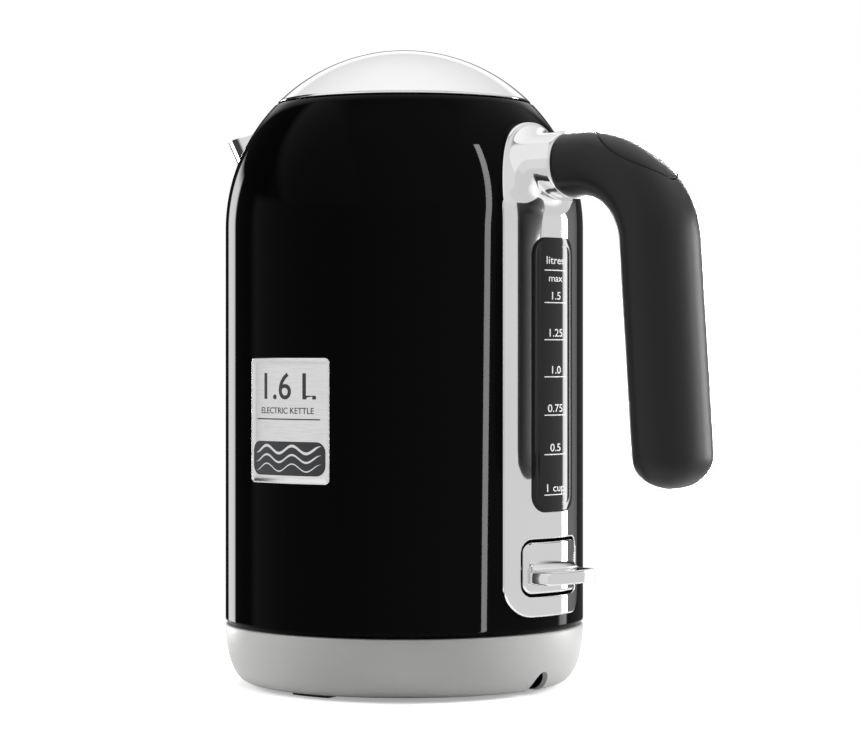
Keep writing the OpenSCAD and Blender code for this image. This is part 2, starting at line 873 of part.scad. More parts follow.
module thumb_button() {
    color("#161616") union() {
        intersection() {
            grip_solid();
            at_pad() translate([0, 0, -pad_under]) linear_extrude(20) pad_outline(0);
        }
        difference() {
            translate([foot_x, -2.5, rod_z - rod_r]) cube([foot_l, 5, 14]);
            at_pad() translate([-40, -20, -pad_under + 0.5]) cube([80, 40, 30]);
        }
    }
}

module button_spring() {
    spring_l = pad_floor + pad_pocket - pad_under;
    color("silver") at_pad() translate([pad_spring_x, 0, -pad_floor - pad_pocket + 0.4])
        coil(pad_spring_r, 0.4, 5, spring_l - 1);
}

module release_rod() {
    color("silver") union() {
        bar_x(rod_r, blade_x, foot_x - slip, 0, rod_z);
        translate([blade_x, -blade_w / 2, rod_z - rod_r])
            cube([blade_t, blade_w, liner_z0 - 0.7 - rod_z + rod_r]);
        translate([blade_x - 1.5, -blade_w / 2, liner_z0 - 2.2]) cube([blade_t, blade_w, 1.5]);
    }
}

// Gauge

// A curved slab between two radii with the window's outline, w narrower all round
module gauge_slab(r0, r1, w) {
    intersection() {
        ring(r0, r1, gauge_z - more, gauge_z + gauge_h + more);
        along_x(R - 20, R + 9) translate([0, gauge_mid])
            round_rect(gauge_w - 2 * w, gauge_h - 2 * w, gauge_corner - w);
    }
}

module gauge_window() {
    color("#30343a") union() {
        intersection() {
            gauge_slab(R + 1, R + 9, 0);
            face_solid(-gauge_in);
        }
        gauge_studs(stud_r, R - 5, R + 1.5);
    }
}

module gauge_seal() {
    color("dimgray") difference() {
        gauge_slab(R + fit, R + 1 - fit, 0.2);
        gauge_slot();
        gauge_studs(stud_r + 0.1, R - 8, R + 5);
    }
}

module gauge_clamp() {
    color("#202020") difference() {
        gauge_slab(Ri - clamp_t, Ri - fit, 0);
        gauge_slot();
        gauge_studs(stud_r + 0.1, R - 8, R + 5);
    }
}

// Switch

module switch_bezel() {
    color("#101010") difference() {
        intersection() {
            along_x(switch_px - bezel_deep, R) translate([0, switch_mid])
                round_rect(switch_w + 2 * bezel_side, switch_h + 2 * bezel_top, switch_corner + 1);
            body_solid(Ri - fit);
        }
        along_x(switch_px - bezel_deep + 2, R + 1) translate([0, switch_mid])
            round_rect(switch_w + 0.6, switch_h + 0.4, switch_corner + 0.2);
        bar_across(pin_r + press, wide, switch_px, switch_mid);
        translate([switch_px - bezel_deep - 2, -lever_w / 2 - 1, lever_z - 3])
            cube([8, lever_w + 2, switch_mid + 5 - lever_z + 3]);
    }
}

module switch_rocker() {
    tab_z1 = tab_z0 + tab_t;
    face_front = face_x + face_r - 0.3;
    shelf = concat(
        [[R - 7, tab_z0], [R + 24, tab_z0], [R + 24, tab_z1]],
        [for (a = [0:15:90]) [face_front + tab_round * (1 - sin(a)), tab_z1 + tab_round * (1 - cos(a))]],
        [[R - 7, tab_z1 + tab_round + 3]]);
    color("silver") difference() {
        union() {
            intersection() {
                ring(R - rocker_deep, R + 9, switch_z, switch_z + switch_h);
                face_solid(0);
                along_x(R - 20, R + 9) translate([0, switch_mid])
                    round_rect(rocker_w, rocker_h, switch_corner - 1);
            }
            intersection() {
                across(-tab_w / 2, tab_w / 2) polygon(shelf);
                ring(R - rocker_deep, R + 30, switch_z, switch_z + switch_h);
                translate([tab_out, 0, switch_z]) linear_extrude(switch_h)
                    round_rect(2 * R, tab_w, tab_corner);
            }
            for (y = [-rocker_w / 2 + 1, rocker_w / 2 - 5]) translate([switch_px - 3, y, switch_mid - 3])
                cube([7, 4, 6]);
            translate([switch_px - 7, -3, switch_mid - arm_t / 2]) cube([11, 6, arm_t]);
        }
        bar_across(pin_r + run, wide, switch_px, switch_mid);
    }
}

module switch_pin() {
    color("silver") bar_across(pin_r, switch_w + 4, switch_px, switch_mid);
}

module trip_lever() {
    color("ivory") difference() {
        union() {
            translate([lever_x - 11, -lever_w / 2, lever_z - lever_t / 2])
                cube([switch_px - 4.5 - lever_x + 11, lever_w, lever_t]);
            bar_across(3, lever_w, lever_x, lever_z);
        }
        bar_across(pin_r + run, wide, lever_x, lever_z);
    }
}

module trip_pin() {
    color("silver") bar_across(pin_r, lever_w + 2 + 2 * ear_w, lever_x, lever_z);
}

module badge_plate() {
    color("silver") intersection() {
        body_skin(R + fit, R + fit + 0.6);
        rotate([0, 0, badge_angle]) along_x(R - 20, R + 5) translate([0, body_z0 + badge_up])
            round_rect(badge_w, badge_h, 2);
    }
}

// Lid

module hinge_bracket() {
    color("silver") difference() {
        intersection() {
            union() {
                for (y = [-cheek_y - cheek_t, cheek_y])
                    translate([hinge_x - cheek_x, y, hinge_z - bracket_low]) cube([14, cheek_t, 20]);
                translate([hinge_x - cheek_x + 1, -cheek_y - cheek_t, hinge_z - bracket_low])
                    cube([13, 2 * (cheek_y + cheek_t), bracket_t]);
            }
            body_solid(Ri - fit);
        }
        bar_across(pin_r + press, wide, hinge_x, hinge_z);
        disc(mouth_r - 1, rim_z - rim_h - 0.1, rim_z + 5);
    }
}

module hinge_pin() {
    color("silver") bar_across(pin_r, 2 * (cheek_y + cheek_t), hinge_x, hinge_z);
}

module hinge_spring() {
    color("gray") translate([hinge_x, -arm_y0 + 1, hinge_z]) rotate([-90, 0, 0])
        coil(2.3, 0.45, 8, 2 * arm_y0 - 2);
}

module lid_dome() {
    color("silver") rotate_extrude($fn = 180) intersection() {
        difference() {
            body_outline(R);
            intersection() {
                body_outline(R - lid_wall);
                square([lid_r - lid_wall, far]);
            }
        }
        translate([0, lid_z0]) square([R, far]);
    }
}

// One of the two gooseneck arms that carry the lid, seen from the side
module arm_outline() {
    translate([hinge_x - arm_reach, hinge_z - arm_low]) {
        square([arm_reach, 2.6]);
        square([3.5, liner_z + 0.2 - hinge_z + arm_low]);
    }
    translate([hinge_x, hinge_z]) circle(r = 3.2, $fn = 48);
    translate([hinge_x - 1.6, hinge_z - arm_low]) square([3.2, 3]);
}

module lid_liner() {
    color("#181818") difference() {
        union() {
            disc(lid_r - lid_wall - 0.1, liner_z, liner_z + liner_t);
            intersection() {
                ring(liner_r - liner_wall, liner_r, liner_z0, liner_z + 0.2);
                translate([-far + liner_cut_x, -far / 2, 0]) cube(far);
            }
            translate([liner_cut_x - 2, -22, liner_z0]) cube([2, 44, liner_z + 0.2 - liner_z0]);
            for (y = [-arm_y0 - arm_w, arm_y0]) across(y, y + arm_w) arm_outline();
            bar_up(6, liner_z, dome_z + R - lid_wall - 0.8);
        }
        bar_across(pin_r + run, wide, hinge_x, hinge_z);
    }
}

power_base_shell();
power_base_bottom();
base_feet();
base_connector();
base_contacts();
base_screws();
body_shell();
lid_seat_ring();
heater_plate();
heater_seal();
heat_spreader();
heating_element();
control_unit();
kettle_connector();
kettle_contacts();
bottom_cover();
bottom_screws();
spout();
filter_holder();
filter_frame();
filter_mesh();
handle_plate();
handle_core();
handle_grip();
handle_screws();
gauge_window();
gauge_seal();
gauge_clamp();
steam_tube();
switch_bezel();
switch_rocker();
switch_pin();
trip_lever();
trip_pin();
badge_plate();
hinge_bracket();
hinge_pin();
hinge_spring();
lid_dome();
lid_liner();
thumb_button();
button_spring();
release_rod();
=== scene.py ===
import math

import bmesh
import bpy
import numpy as np
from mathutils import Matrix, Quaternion, Vector


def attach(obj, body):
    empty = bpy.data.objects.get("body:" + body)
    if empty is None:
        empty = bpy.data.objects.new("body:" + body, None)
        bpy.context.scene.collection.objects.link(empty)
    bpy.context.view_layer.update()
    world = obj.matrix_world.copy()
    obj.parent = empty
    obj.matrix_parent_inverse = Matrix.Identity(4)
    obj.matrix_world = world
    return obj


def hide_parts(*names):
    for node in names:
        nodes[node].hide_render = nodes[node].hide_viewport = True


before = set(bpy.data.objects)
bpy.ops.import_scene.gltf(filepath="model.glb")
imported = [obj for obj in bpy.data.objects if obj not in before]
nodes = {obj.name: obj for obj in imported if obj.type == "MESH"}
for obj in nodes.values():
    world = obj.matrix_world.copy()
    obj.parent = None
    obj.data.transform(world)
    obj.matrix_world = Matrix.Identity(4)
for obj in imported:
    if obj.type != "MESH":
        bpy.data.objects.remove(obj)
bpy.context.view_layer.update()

mm = 0.001

# ---------------------------------------------------------------------------------------------------------------
# Camera, studio and floor
# The kettle stands on a small pale floor in a white studio, seen from a little over a metre away at half height.

view_distance = 1.150
view_turn = math.radians(-51)
eye_height = 0.13895

lens = bpy.data.cameras.new("studio_camera")
lens.lens, lens.sensor_width = 114.3, 36
lens.shift_x, lens.shift_y = 0.0304, -0.0238
camera = bpy.data.objects.new("studio_camera", lens)
camera.location = (view_distance * math.cos(view_turn), view_distance * math.sin(view_turn), eye_height)
camera.rotation_euler = (math.pi / 2, 0, view_turn + math.pi / 2)
bpy.context.collection.objects.link(camera)
bpy.context.scene.camera = camera
bpy.context.scene.view_settings.view_transform = "Standard"


def ramp_of(tree, stops, mode="LINEAR"):
    """A colour ramp of grey levels: stops are (position, level) pairs, read from left to right."""
    node = tree.nodes.new("ShaderNodeValToRGB")
    node.color_ramp.interpolation = mode
    cells = node.color_ramp.elements
    cells[0].position, cells[1].position = stops[0][0], stops[-1][0]
    cells[0].color, cells[1].color = [(v, v, v, 1) for v in (stops[0][1], stops[-1][1])]
    for place, level in stops[1:-1]:
        cells.new(place).color = (level, level, level, 1)
    return node


def maths(tree, kind, *values):
    """One Math node; each value is a number or a socket."""
    node = tree.nodes.new("ShaderNodeMath")
    node.operation = kind
    for i, value in enumerate(values):
        if isinstance(value, (int, float)):
            node.inputs[i].default_value = value
        else:
            tree.links.new(value, node.inputs[i])
    return node.outputs[0]


world = bpy.data.worlds.new("studio")
bpy.context.scene.world = world
world.use_nodes = True
tree = world.node_tree
tree.nodes.clear()
place = tree.nodes.new("ShaderNodeTexCoord")
turn = tree.nodes.new("ShaderNodeVectorRotate")
turn.rotation_type = "Z_AXIS"
turn.inputs["Angle"].default_value = -view_turn
tree.links.new(place.outputs["Generated"], turn.inputs["Vector"])
parts = tree.nodes.new("ShaderNodeSeparateXYZ")
tree.links.new(turn.outputs[0], parts.inputs[0])
# Angle round the kettle, from 0 behind its left over 0.5 towards the eye to 1 behind its right
bearing = maths(tree, "ARCTAN2", parts.outputs[1], parts.outputs[0])
bearing = maths(tree, "ADD", maths(tree, "DIVIDE", bearing, 2 * math.pi), 0.5)


def at(degrees):
    """Place on the ramp of a bearing given in degrees to the right of the eye."""
    return 0.5 + degrees / 360


# Round the horizon stand a bright panel far back on the left, a dark gap, pale walls from the left round the front
# to the right, a bright tube behind the right, and a dim wall beyond it. The rest is dark.
horizon = ramp_of(tree, [
    (0, 0.02), (at(-155.6), 0.02), (at(-154.6), 4.0), (at(-147), 7.4), (at(-140), 11.5), (at(-138.4), 0.06),
    (at(-116), 0.06), (at(-109), 0.80), (at(-96), 0.86), (at(-50), 0.84), (at(-40), 0.74),
    (at(116.5), 0.78), (at(117.5), 12.0), (at(126), 12.0), (at(127.5), 0.19), (at(145), 0.17),
    (at(160), 0.12), (at(168), 0.10), (at(171), 0.02), (1, 0.02)])
tree.links.new(bearing, horizon.inputs[0])
# Higher up, the studio is bright towards the eye, steeply behind, and high up on both sides.
ahead, aside, up = parts.outputs[0], parts.outputs[1], parts.outputs[2]
up_squared = maths(tree, "POWER", maths(tree, "MAXIMUM", up, 0.0), 2.0)
steep = maths(tree, "SUBTRACT", up_squared, maths(tree, "ADD", ahead, 0.5))
overhead = ramp_of(tree, [(0, 0), (0.475, 0), (0.5, 1), (1, 1)])
tree.links.new(steep, overhead.inputs[0])
beside = ramp_of(tree, [(0, 0), (0.32, 0), (0.5, 1), (1, 1)])
tree.links.new(maths(tree, "MULTIPLY", aside, -1.0), beside.inputs[0])
clear_up = ramp_of(tree, [(0, 0), (0.18, 0), (0.36, 1), (1, 1)])
tree.links.new(maths(tree, "ADD", ahead, up), clear_up.inputs[0])
front = ramp_of(tree, [(0, 0.03), (0.38, 0.03), (0.62, 0.80), (1, 0.85)])
tree.links.new(maths(tree, "ADD", maths(tree, "MULTIPLY", ahead, 0.5), 0.5), front.inputs[0])
sky = ramp_of(tree, [(0, 0.10), (0.2, 0.30), (0.27, 0.55), (0.31, 1.2), (0.42, 1.2), (0.5, 0.88), (0.9, 1.12),
                     (1, 1.16)])
tree.links.new(up, sky.inputs[0])
above = maths(tree, "MAXIMUM", maths(tree, "MULTIPLY", overhead.outputs[0], sky.outputs[0]), front.outputs[0])
left_side = maths(tree, "MULTIPLY", beside.outputs[0], clear_up.outputs[0])
beside_right = ramp_of(tree, [(0, 0), (0.25, 0), (0.5, 1), (1, 1)])
tree.links.new(aside, beside_right.inputs[0])
high_right = ramp_of(tree, [(0, 0), (0.3, 0), (0.5, 0.8), (1, 0.95)])
tree.links.new(up, high_right.inputs[0])
right_side = maths(tree, "MULTIPLY", beside_right.outputs[0], high_right.outputs[0])
above = maths(tree, "MAXIMUM", above, maths(tree, "MAXIMUM", left_side, right_side))
ground = maths(tree, "GREATER_THAN", maths(tree, "MULTIPLY", up, -1.0), 0.14)
share = ramp_of(tree, [(0, 0), (0.19, 0), (0.25, 1), (1, 1)])
tree.links.new(up, share.inputs[0])
studio = tree.nodes.new("ShaderNodeMix")
studio.data_type = "RGBA"
tree.links.new(share.outputs[0], studio.inputs["Factor"])
tree.links.new(horizon.outputs[0], studio.inputs["A"])
tree.links.new(above, studio.inputs["B"])
low = tree.nodes.new("ShaderNodeMix")
low.data_type = "RGBA"
low.inputs["B"].default_value = (0.74, 0.74, 0.74, 1)
tree.links.new(ground, low.inputs["Factor"])
tree.links.new(studio.outputs["Result"], low.inputs["A"])
shiny = tree.nodes.new("ShaderNodeBackground")
tree.links.new(low.outputs["Result"], shiny.inputs["Color"])
soft = tree.nodes.new("ShaderNodeBackground")
soft.inputs["Color"].default_value = (0.36, 0.36, 0.36, 1)
white = tree.nodes.new("ShaderNodeBackground")
white.inputs["Color"].default_value = (1, 1, 1, 1)
path = tree.nodes.new("ShaderNodeLightPath")
mirror_ray = maths(tree, "MAXIMUM", path.outputs["Is Glossy Ray"], path.outputs["Is Transmission Ray"])
first = tree.nodes.new("ShaderNodeMixShader")
tree.links.new(mirror_ray, first.inputs[0])
tree.links.new(soft.outputs[0], first.inputs[1])
tree.links.new(shiny.outputs[0], first.inputs[2])
second = tree.nodes.new("ShaderNodeMixShader")
tree.links.new(path.outputs["Is Camera Ray"], second.inputs[0])
tree.links.new(first.outputs[0], second.inputs[1])
tree.links.new(white.outputs[0], second.inputs[2])
end = tree.nodes.new("ShaderNodeOutputWorld")
tree.links.new(second.outputs[0], end.inputs[0])


def softbox(name, bearing_deg, height_m, distance, width, tall, power, roll=0):
    """An area lamp on a circle round the kettle, aimed at its middle. The bearing is to the right of the eye, and
    roll in degrees leans its top to the right."""
    lamp = bpy.data.lights.new(name, "AREA")
    lamp.shape, lamp.size, lamp.size_y, lamp.energy = "RECTANGLE", width, tall, power
    box = bpy.data.objects.new(name, lamp)
    a = view_turn + math.radians(bearing_deg)
    box.location = (distance * math.cos(a), distance * math.sin(a), height_m)
    aim = (Vector((0, 0, 0.12)) - box.location).to_track_quat("-Z", "Y")
    box.rotation_euler = (aim @ Quaternion((0, 0, 1), math.radians(-roll))).to_euler()
    box.visible_glossy = False
    bpy.context.collection.objects.link(box)
    return box


def light_only(box, *lit):
    """The lamp is a screened one that reaches only these pieces, and shows in their gloss."""
    box.visible_glossy = True
    box.light_linking.receiver_collection = bpy.data.collections.new(box.name)
    for one in lit:
        box.light_linking.receiver_collection.objects.link(one)


softbox("left_softbox", -104, 0.35, 1.2, 0.5, 0.9, 17)
softbox("top_softbox", -10, 1.5, 0.35, 1.2, 1.2, 13)
softbox("right_softbox", 104, 0.30, 1.2, 0.5, 0.9, 29)


def grid_quads(rows, cols, round_rows=False, round_cols=False):
    """The quads of a rows by cols grid of points; a round direction joins its last line to its first."""
    r, c = np.meshgrid(np.arange(rows - (not round_rows)), np.arange(cols - (not round_cols)), indexing="ij")
    r2, c2 = (r + 1) % rows, (c + 1) % cols
    return np.stack([r * cols + c, r * cols + c2, r2 * cols + c2, r2 * cols + c], -1).reshape(-1, 4)


def piece(name, points, quads, material, sharp=38):
    """A smooth mesh object from points in millimetres. Points that fall together become one, and faces turn
    outwards."""
    mesh = bpy.data.meshes.new(name)
    mesh.from_pydata((points.reshape(-1, 3) * mm).tolist(), [], quads.tolist())
    work = bmesh.new()
    work.from_mesh(mesh)
    bmesh.ops.remove_doubles(work, verts=work.verts, dist=2e-6)
    bmesh.ops.recalc_face_normals(work, faces=work.faces)
    work.to_mesh(mesh)
    work.free()
    mesh.polygons.foreach_set("use_smooth", np.ones(len(mesh.polygons), bool))
    mesh.set_sharp_from_angle(angle=math.radians(sharp))
    mesh.materials.append(material)
    made = bpy.data.objects.new(name, mesh)
    bpy.context.collection.objects.link(made)
    return made


def finish_of(name, colour, roughness, metallic=0.0, grain=None, patches=None, **sockets):
    """A procedural finish. grain is (size in mm, depth in mm) of the surface's fine bumps, and patches is
    (size in mm, share) of a slow change in colour and roughness."""
    material = bpy.data.materials.new(name)
    material.use_nodes = True
    tree = material.node_tree
    shader = tree.nodes["Principled BSDF"]
    shader.inputs["Base Color"].default_value = (*colour, 1)
    shader.inputs["Roughness"].default_value = roughness
    shader.inputs["Metallic"].default_value = metallic
    for key, value in sockets.items():
        shader.inputs[key.replace("_", " ")].default_value = value
    where = tree.nodes.new("ShaderNodeTexCoord").outputs["Object"]
    if grain:
        fine = tree.nodes.new("ShaderNodeTexNoise")
        fine.inputs["Scale"].default_value = 1000 / grain[0]
        fine.inputs["Detail"].default_value = 2
        tree.links.new(where, fine.inputs["Vector"])
        bump = tree.nodes.new("ShaderNodeBump")
        bump.inputs["Distance"].default_value = grain[1] * mm
        tree.links.new(fine.outputs["Fac"], bump.inputs["Height"])
        tree.links.new(bump.outputs[0], shader.inputs["Normal"])
    if patches:
        slow = tree.nodes.new("ShaderNodeTexNoise")
        slow.inputs["Scale"].default_value = 1000 / patches[0]
        slow.inputs["Detail"].default_value = 4
        tree.links.new(where, slow.inputs["Vector"])
        rough = tree.nodes.new("ShaderNodeMapRange")
        rough.inputs["To Min"].default_value = roughness * (1 - patches[1])
        rough.inputs["To Max"].default_value = roughness * (1 + patches[1])
        tree.links.new(slow.outputs["Fac"], rough.inputs["Value"])
        tree.links.new(rough.outputs[0], shader.inputs["Roughness"])
        tint = tree.nodes.new("ShaderNodeMix")
        tint.data_type = "RGBA"
        tint.inputs["A"].default_value = (*[c * (1 - patches[1] * 0.4) for c in colour], 1)
        tint.inputs["B"].default_value = (*[min(1, c * (1 + patches[1] * 0.4)) for c in colour], 1)
        tree.links.new(slow.outputs["Fac"], tint.inputs["Factor"])
        tree.links.new(tint.outputs["Result"], shader.inputs["Base Color"])
    return material


# The floor is a round pale board that fades out at its edge, so that the studio's white runs on behind it.
floor_r, floor_fade = 320.0, 150.0
radius = np.concatenate([[0.0], np.linspace(20, floor_r, 14)])[:, None]
angle = np.linspace(0, 2 * np.pi, 96, endpoint=False)[None, :]
board = np.stack([radius * np.cos(angle), radius * np.sin(angle), np.full(radius.shape, -0.02) + 0 * angle], -1)
floor_paint = bpy.data.materials.new("pale_floor")
floor_paint.use_nodes = True
tree = floor_paint.node_tree
paint = tree.nodes["Principled BSDF"]
paint.inputs["Base Color"].default_value = (0.9, 0.9, 0.9, 1)
paint.inputs["Roughness"].default_value = 0.9
paint.inputs["Specular IOR Level"].default_value = 0.0
where = tree.nodes.new("ShaderNodeTexCoord")
length = tree.nodes.new("ShaderNodeVectorMath")
length.operation = "LENGTH"
tree.links.new(where.outputs["Object"], length.inputs[0])
fade = tree.nodes.new("ShaderNodeMapRange")
fade.interpolation_type = "SMOOTHSTEP"
fade.inputs["From Min"].default_value = floor_fade * mm
fade.inputs["From Max"].default_value = (floor_r - 10) * mm
tree.links.new(length.outputs["Value"], fade.inputs["Value"])
clear = tree.nodes.new("ShaderNodeBsdfTransparent")
melt = tree.nodes.new("ShaderNodeMixShader")
path = tree.nodes.new("ShaderNodeLightPath")
glow = tree.nodes.new("ShaderNodeEmission")
glow.inputs["Strength"].default_value = 0.35
lift = tree.nodes.new("ShaderNodeAddShader")
tree.links.new(paint.outputs[0], lift.inputs[0])
tree.links.new(glow.outputs[0], lift.inputs[1])
seen = tree.nodes.new("ShaderNodeMixShader")
tree.links.new(path.outputs["Is Camera Ray"], seen.inputs[0])
tree.links.new(paint.outputs[0], seen.inputs[1])
tree.links.new(lift.outputs[0], seen.inputs[2])
tree.links.new(fade.outputs[0], melt.inputs[0])
tree.links.new(seen.outputs[0], melt.inputs[1])
tree.links.new(clear.outputs[0], melt.inputs[2])
tree.links.new(melt.outputs[0], tree.nodes["Material Output"].inputs["Surface"])
floor = piece("floor", board, grid_quads(*board.shape[:2], round_cols=True), floor_paint)
if floor.data.polygons[0].normal.z < 0:
    floor.data.flip_normals()

# ---------------------------------------------------------------------------------------------------------------
# Power base
# A satin grey moulding with a rounded side stands on three rubber feet. An arched notch lets the cable out at
# the back, and a black connector stands up from its middle into the kettle.

base_r, base_top, base_low = 75.0, 25.7, 1.5
base_round, base_power, base_wall = 10.5, 2.15, 2.3
base_edge, roof = 1.0, 2.5
notch_half, notch_up = 5.5, 8.25
hub_hole, step_in, step_out, step_up = 17.9, 59.4, 68.6, 0.6


def fillet(corners, radii, steps=6):
    """A closed outline through the corners, each replaced by an arc of its radius that touches both its sides."""
    p, r = np.array(corners, float), np.array(radii, float)[:, None]
    a, b = np.roll(p, 1, 0) - p, np.roll(p, -1, 0) - p
    a /= np.linalg.norm(a, axis=1, keepdims=True)
    b /= np.linalg.norm(b, axis=1, keepdims=True)
    half = np.arccos(np.clip((a * b).sum(1, keepdims=True), -1, 1)) / 2
    middle = a + b
    middle /= np.maximum(np.linalg.norm(middle, axis=1, keepdims=True), 1e-9)
    centre = p + middle * r / np.sin(half)
    u, w = p + a * r / np.tan(half) - centre, p + b * r / np.tan(half) - centre
    sweep = (np.pi - 2 * half)[:, None]
    t = np.linspace(0, 1, steps + 1)[None, :, None]
    arc = centre[:, None] + (np.sin((1 - t) * sweep) * u[:, None] + np.sin(t * sweep) * w[:, None]) / np.sin(sweep)
    return arc.reshape(-1, 2)


def turned(outline, angles):
    """A closed outline of (radius, height) turned round the kettle's axis, as a grid of points and its quads."""
    r, z = outline[:, 0][None, :], outline[:, 1][None, :]
    a = angles[:, None]
    points = np.stack([r * np.cos(a), r * np.sin(a), z + 0 * a], -1)
    return points, grid_quads(len(angles), len(outline), True, True)


grey_plastic = finish_of("satin_grey_plastic", (0.34, 0.34, 0.335), 0.36, grain=(0.35, 0.004), patches=(40, 0.06))
arch = np.arcsin(notch_half / base_r)
angles = np.concatenate([np.arcsin(notch_half / base_r * np.sin(np.linspace(-np.pi / 2, np.pi / 2, 27))),
                         np.linspace(arch, 2 * np.pi - arch, 240)[1:-1]])
lowest = base_low + notch_up * np.sqrt(np.clip(1 - (base_r * np.sin(angles) / notch_half) ** 2, 0, 1))
lowest[np.abs(np.cos(angles) - 1) > 0.01] = base_low


def side_radius(z, r, w, h):
    """Radius of the rounded side at height z: a quarter superellipse, w wide and h high, below the top edge."""
    drop = np.clip((base_top - z) / h, 0, 1)
    return r - w + w * (1 - drop ** base_power) ** (1 / base_power)


s = np.linspace(0, 1, 34)[None, :] ** 0.9
z_out = (base_top - base_edge) + (lowest[:, None] - base_top + base_edge) * np.sin(s * np.pi / 2)
r_out = side_radius(z_out, base_r, base_round, base_top - base_low)
z_in = z_out[:, ::-1]
r_in = np.minimum(side_radius(z_in, base_r, base_round, base_top - base_low) - base_wall, base_r - base_wall)
z_in = np.minimum(z_in, base_top - roof)
top_face = np.array([
    [hub_hole, base_top - roof], [hub_hole, base_top - 0.4], [hub_hole + 0.4, base_top],
    [step_in, base_top], [step_in + step_up, base_top + 0.2], [step_in + 1.0, base_top + step_up],
    [step_out - 1.0, base_top + step_up], [step_out - step_up, base_top + 0.2], [step_out, base_top],
    [base_r - base_edge, base_top], [base_r - base_edge * 0.62, base_top - base_edge * 0.08],
    [base_r - base_edge * 0.29, base_top - base_edge * 0.29],
    [base_r - base_edge * 0.08, base_top - base_edge * 0.62]])
r_all = np.concatenate([np.repeat(top_face[None, :, 0], len(angles), 0), r_out, r_in], 1)
z_all = np.concatenate([np.repeat(top_face[None, :, 1], len(angles), 0), z_out, z_in], 1)
a = angles[:, None]
shell = np.stack([r_all * np.cos(a), r_all * np.sin(a), z_all], -1)
base_shell = piece("base_moulding", shell, grid_quads(*shell.shape[:2], True, True), grey_plastic)
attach(base_shell, "power_base")
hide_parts("power_base_shell")

black_plastic = finish_of("black_plastic", (0.012, 0.012, 0.013), 0.42, grain=(0.3, 0.004), patches=(25, 0.1))
rubber = finish_of("rubber", (0.02, 0.02, 0.02), 0.7, grain=(0.25, 0.01), patches=(12, 0.1))
brass = finish_of("brass", (0.72, 0.53, 0.25), 0.28, 1.0, grain=(0.4, 0.001), patches=(6, 0.15))
steel = finish_of("bright_steel", (0.62, 0.62, 0.61), 0.25, 1.0, grain=(0.5, 0.001), patches=(18, 0.12))


def dress(material, *names):
    """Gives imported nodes, whose own shapes stay, a finish."""
    for name in names:
        nodes[name].data.materials.clear()
        nodes[name].data.materials.append(material)


dress(black_plastic, "power_base_bottom", "base_connector")
dress(rubber, "base_feet")
dress(brass, "base_contacts")
dress(steel, "base_screws")

# ---------------------------------------------------------------------------------------------------------------
# Body
# One drawn steel shell, black enamelled outside and bright inside. Its straight side runs into a spherical dome
# that ends in a rolled rim; the rear is pierced for the switch and the front for the spout.

body_r, body_wall = 75.0, 1.5
body_low, dome_z = 26.3, 190.4
mouth_r, mouth_in = 54.0, 51.4
rim_z = dome_z + math.sqrt(body_r ** 2 - mouth_r ** 2)

enamel = finish_of("black_enamel", (0.0010, 0.0010, 0.0011), 0.03, grain=(9.0, 0.0003), patches=(60, 0.08),
                   Specular_IOR_Level=0.022)

foot_round = 1.6
switch_low, switch_high, spout_low, spout_high = 40, 66, 205, 228
levels = np.concatenate([
    body_low + foot_round * (1 - np.cos(np.linspace(0, np.pi / 2, 7))), np.linspace(28.5, switch_low, 5),
    np.linspace(switch_high, dome_z, 22), np.linspace(dome_z, rim_z - 0.6, 38)[1:]])
swell = np.where(levels < body_low + foot_round,
                 foot_round - np.sqrt(np.clip(foot_round ** 2 - (body_low + foot_round - levels) ** 2, 0, None)), 0)


def skin_radius(z, r):
    """Radius of the body at height z: a cylinder up to the dome's foot, then a sphere of the same radius."""
    return np.sqrt(r * r - np.clip(z - dome_z, 0, None) ** 2)


outer = np.stack([skin_radius(levels, body_r) - swell, levels], -1)
inner = np.stack([skin_radius(levels, body_r - body_wall) - swell * 0.2, levels], -1)[::-1]
rim = np.array([[mouth_r - 0.15, rim_z - 0.25], [mouth_r - 0.6, rim_z], [mouth_in + 0.5, rim_z],
                [mouth_in + 0.12, rim_z - 0.2], [mouth_in, rim_z - 0.7], [mouth_in, rim_z - 2.4]])
outline = np.concatenate([outer, rim, inner])
switch_half, spout_half = math.radians(16), math.radians(12.5)
switch_steps, side_steps, spout_steps = 16, 111, 12
angles = np.concatenate([np.linspace(-switch_half, switch_half, switch_steps + 1),
                         np.linspace(switch_half, np.pi - spout_half, side_steps + 1)[1:],
                         np.linspace(np.pi - spout_half, np.pi + spout_half, spout_steps + 1)[1:],
                         np.linspace(np.pi + spout_half, 2 * np.pi - switch_half, side_steps + 1)[1:-1]])
points, quads = turned(outline, angles)
loop = len(outline)


def cut_window(quads, columns, low, high):
    """Leaves a window out of the shell between two columns and two levels, and lines its four sides."""
    k0, k1 = np.searchsorted(levels, low), np.searchsorted(levels, high)
    column, row = quads[:, 0] // loop, quads[:, 0] % loop
    here = (column >= columns[0]) & (column < columns[1])
    outside = (row >= k0) & (row < k1)
    inside = (row >= loop - 1 - k1) & (row < loop - 1 - k0)
    kept = quads[~(here & (outside | inside))]
    c = np.arange(columns[0], columns[1])
    k = np.arange(k0, k1)
    sills = [np.stack([c * loop + q, (c + 1) * loop + q, (c + 1) * loop + loop - 1 - q, c * loop + loop - 1 - q], -1)
             for q in (k0, k1)]
    jambs = [np.stack([j * loop + k, j * loop + k + 1, j * loop + loop - 2 - k, j * loop + loop - 1 - k], -1)
             for j in columns]
    return np.concatenate([kept, *sills, *jambs])


spout_first = switch_steps + side_steps + 1
quads = cut_window(quads, (0, switch_steps), switch_low - 0.1, switch_high - 0.1)
quads = cut_window(quads, (spout_first, spout_first + spout_steps), spout_low, spout_high)
body = piece("enamelled_body", points, quads, enamel)
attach(body, "kettle")
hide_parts("body_shell")
light_only(softbox("tall_strip", 54.2, 0.45, 1.2, 0.085, 1.62, 46, 10), body)

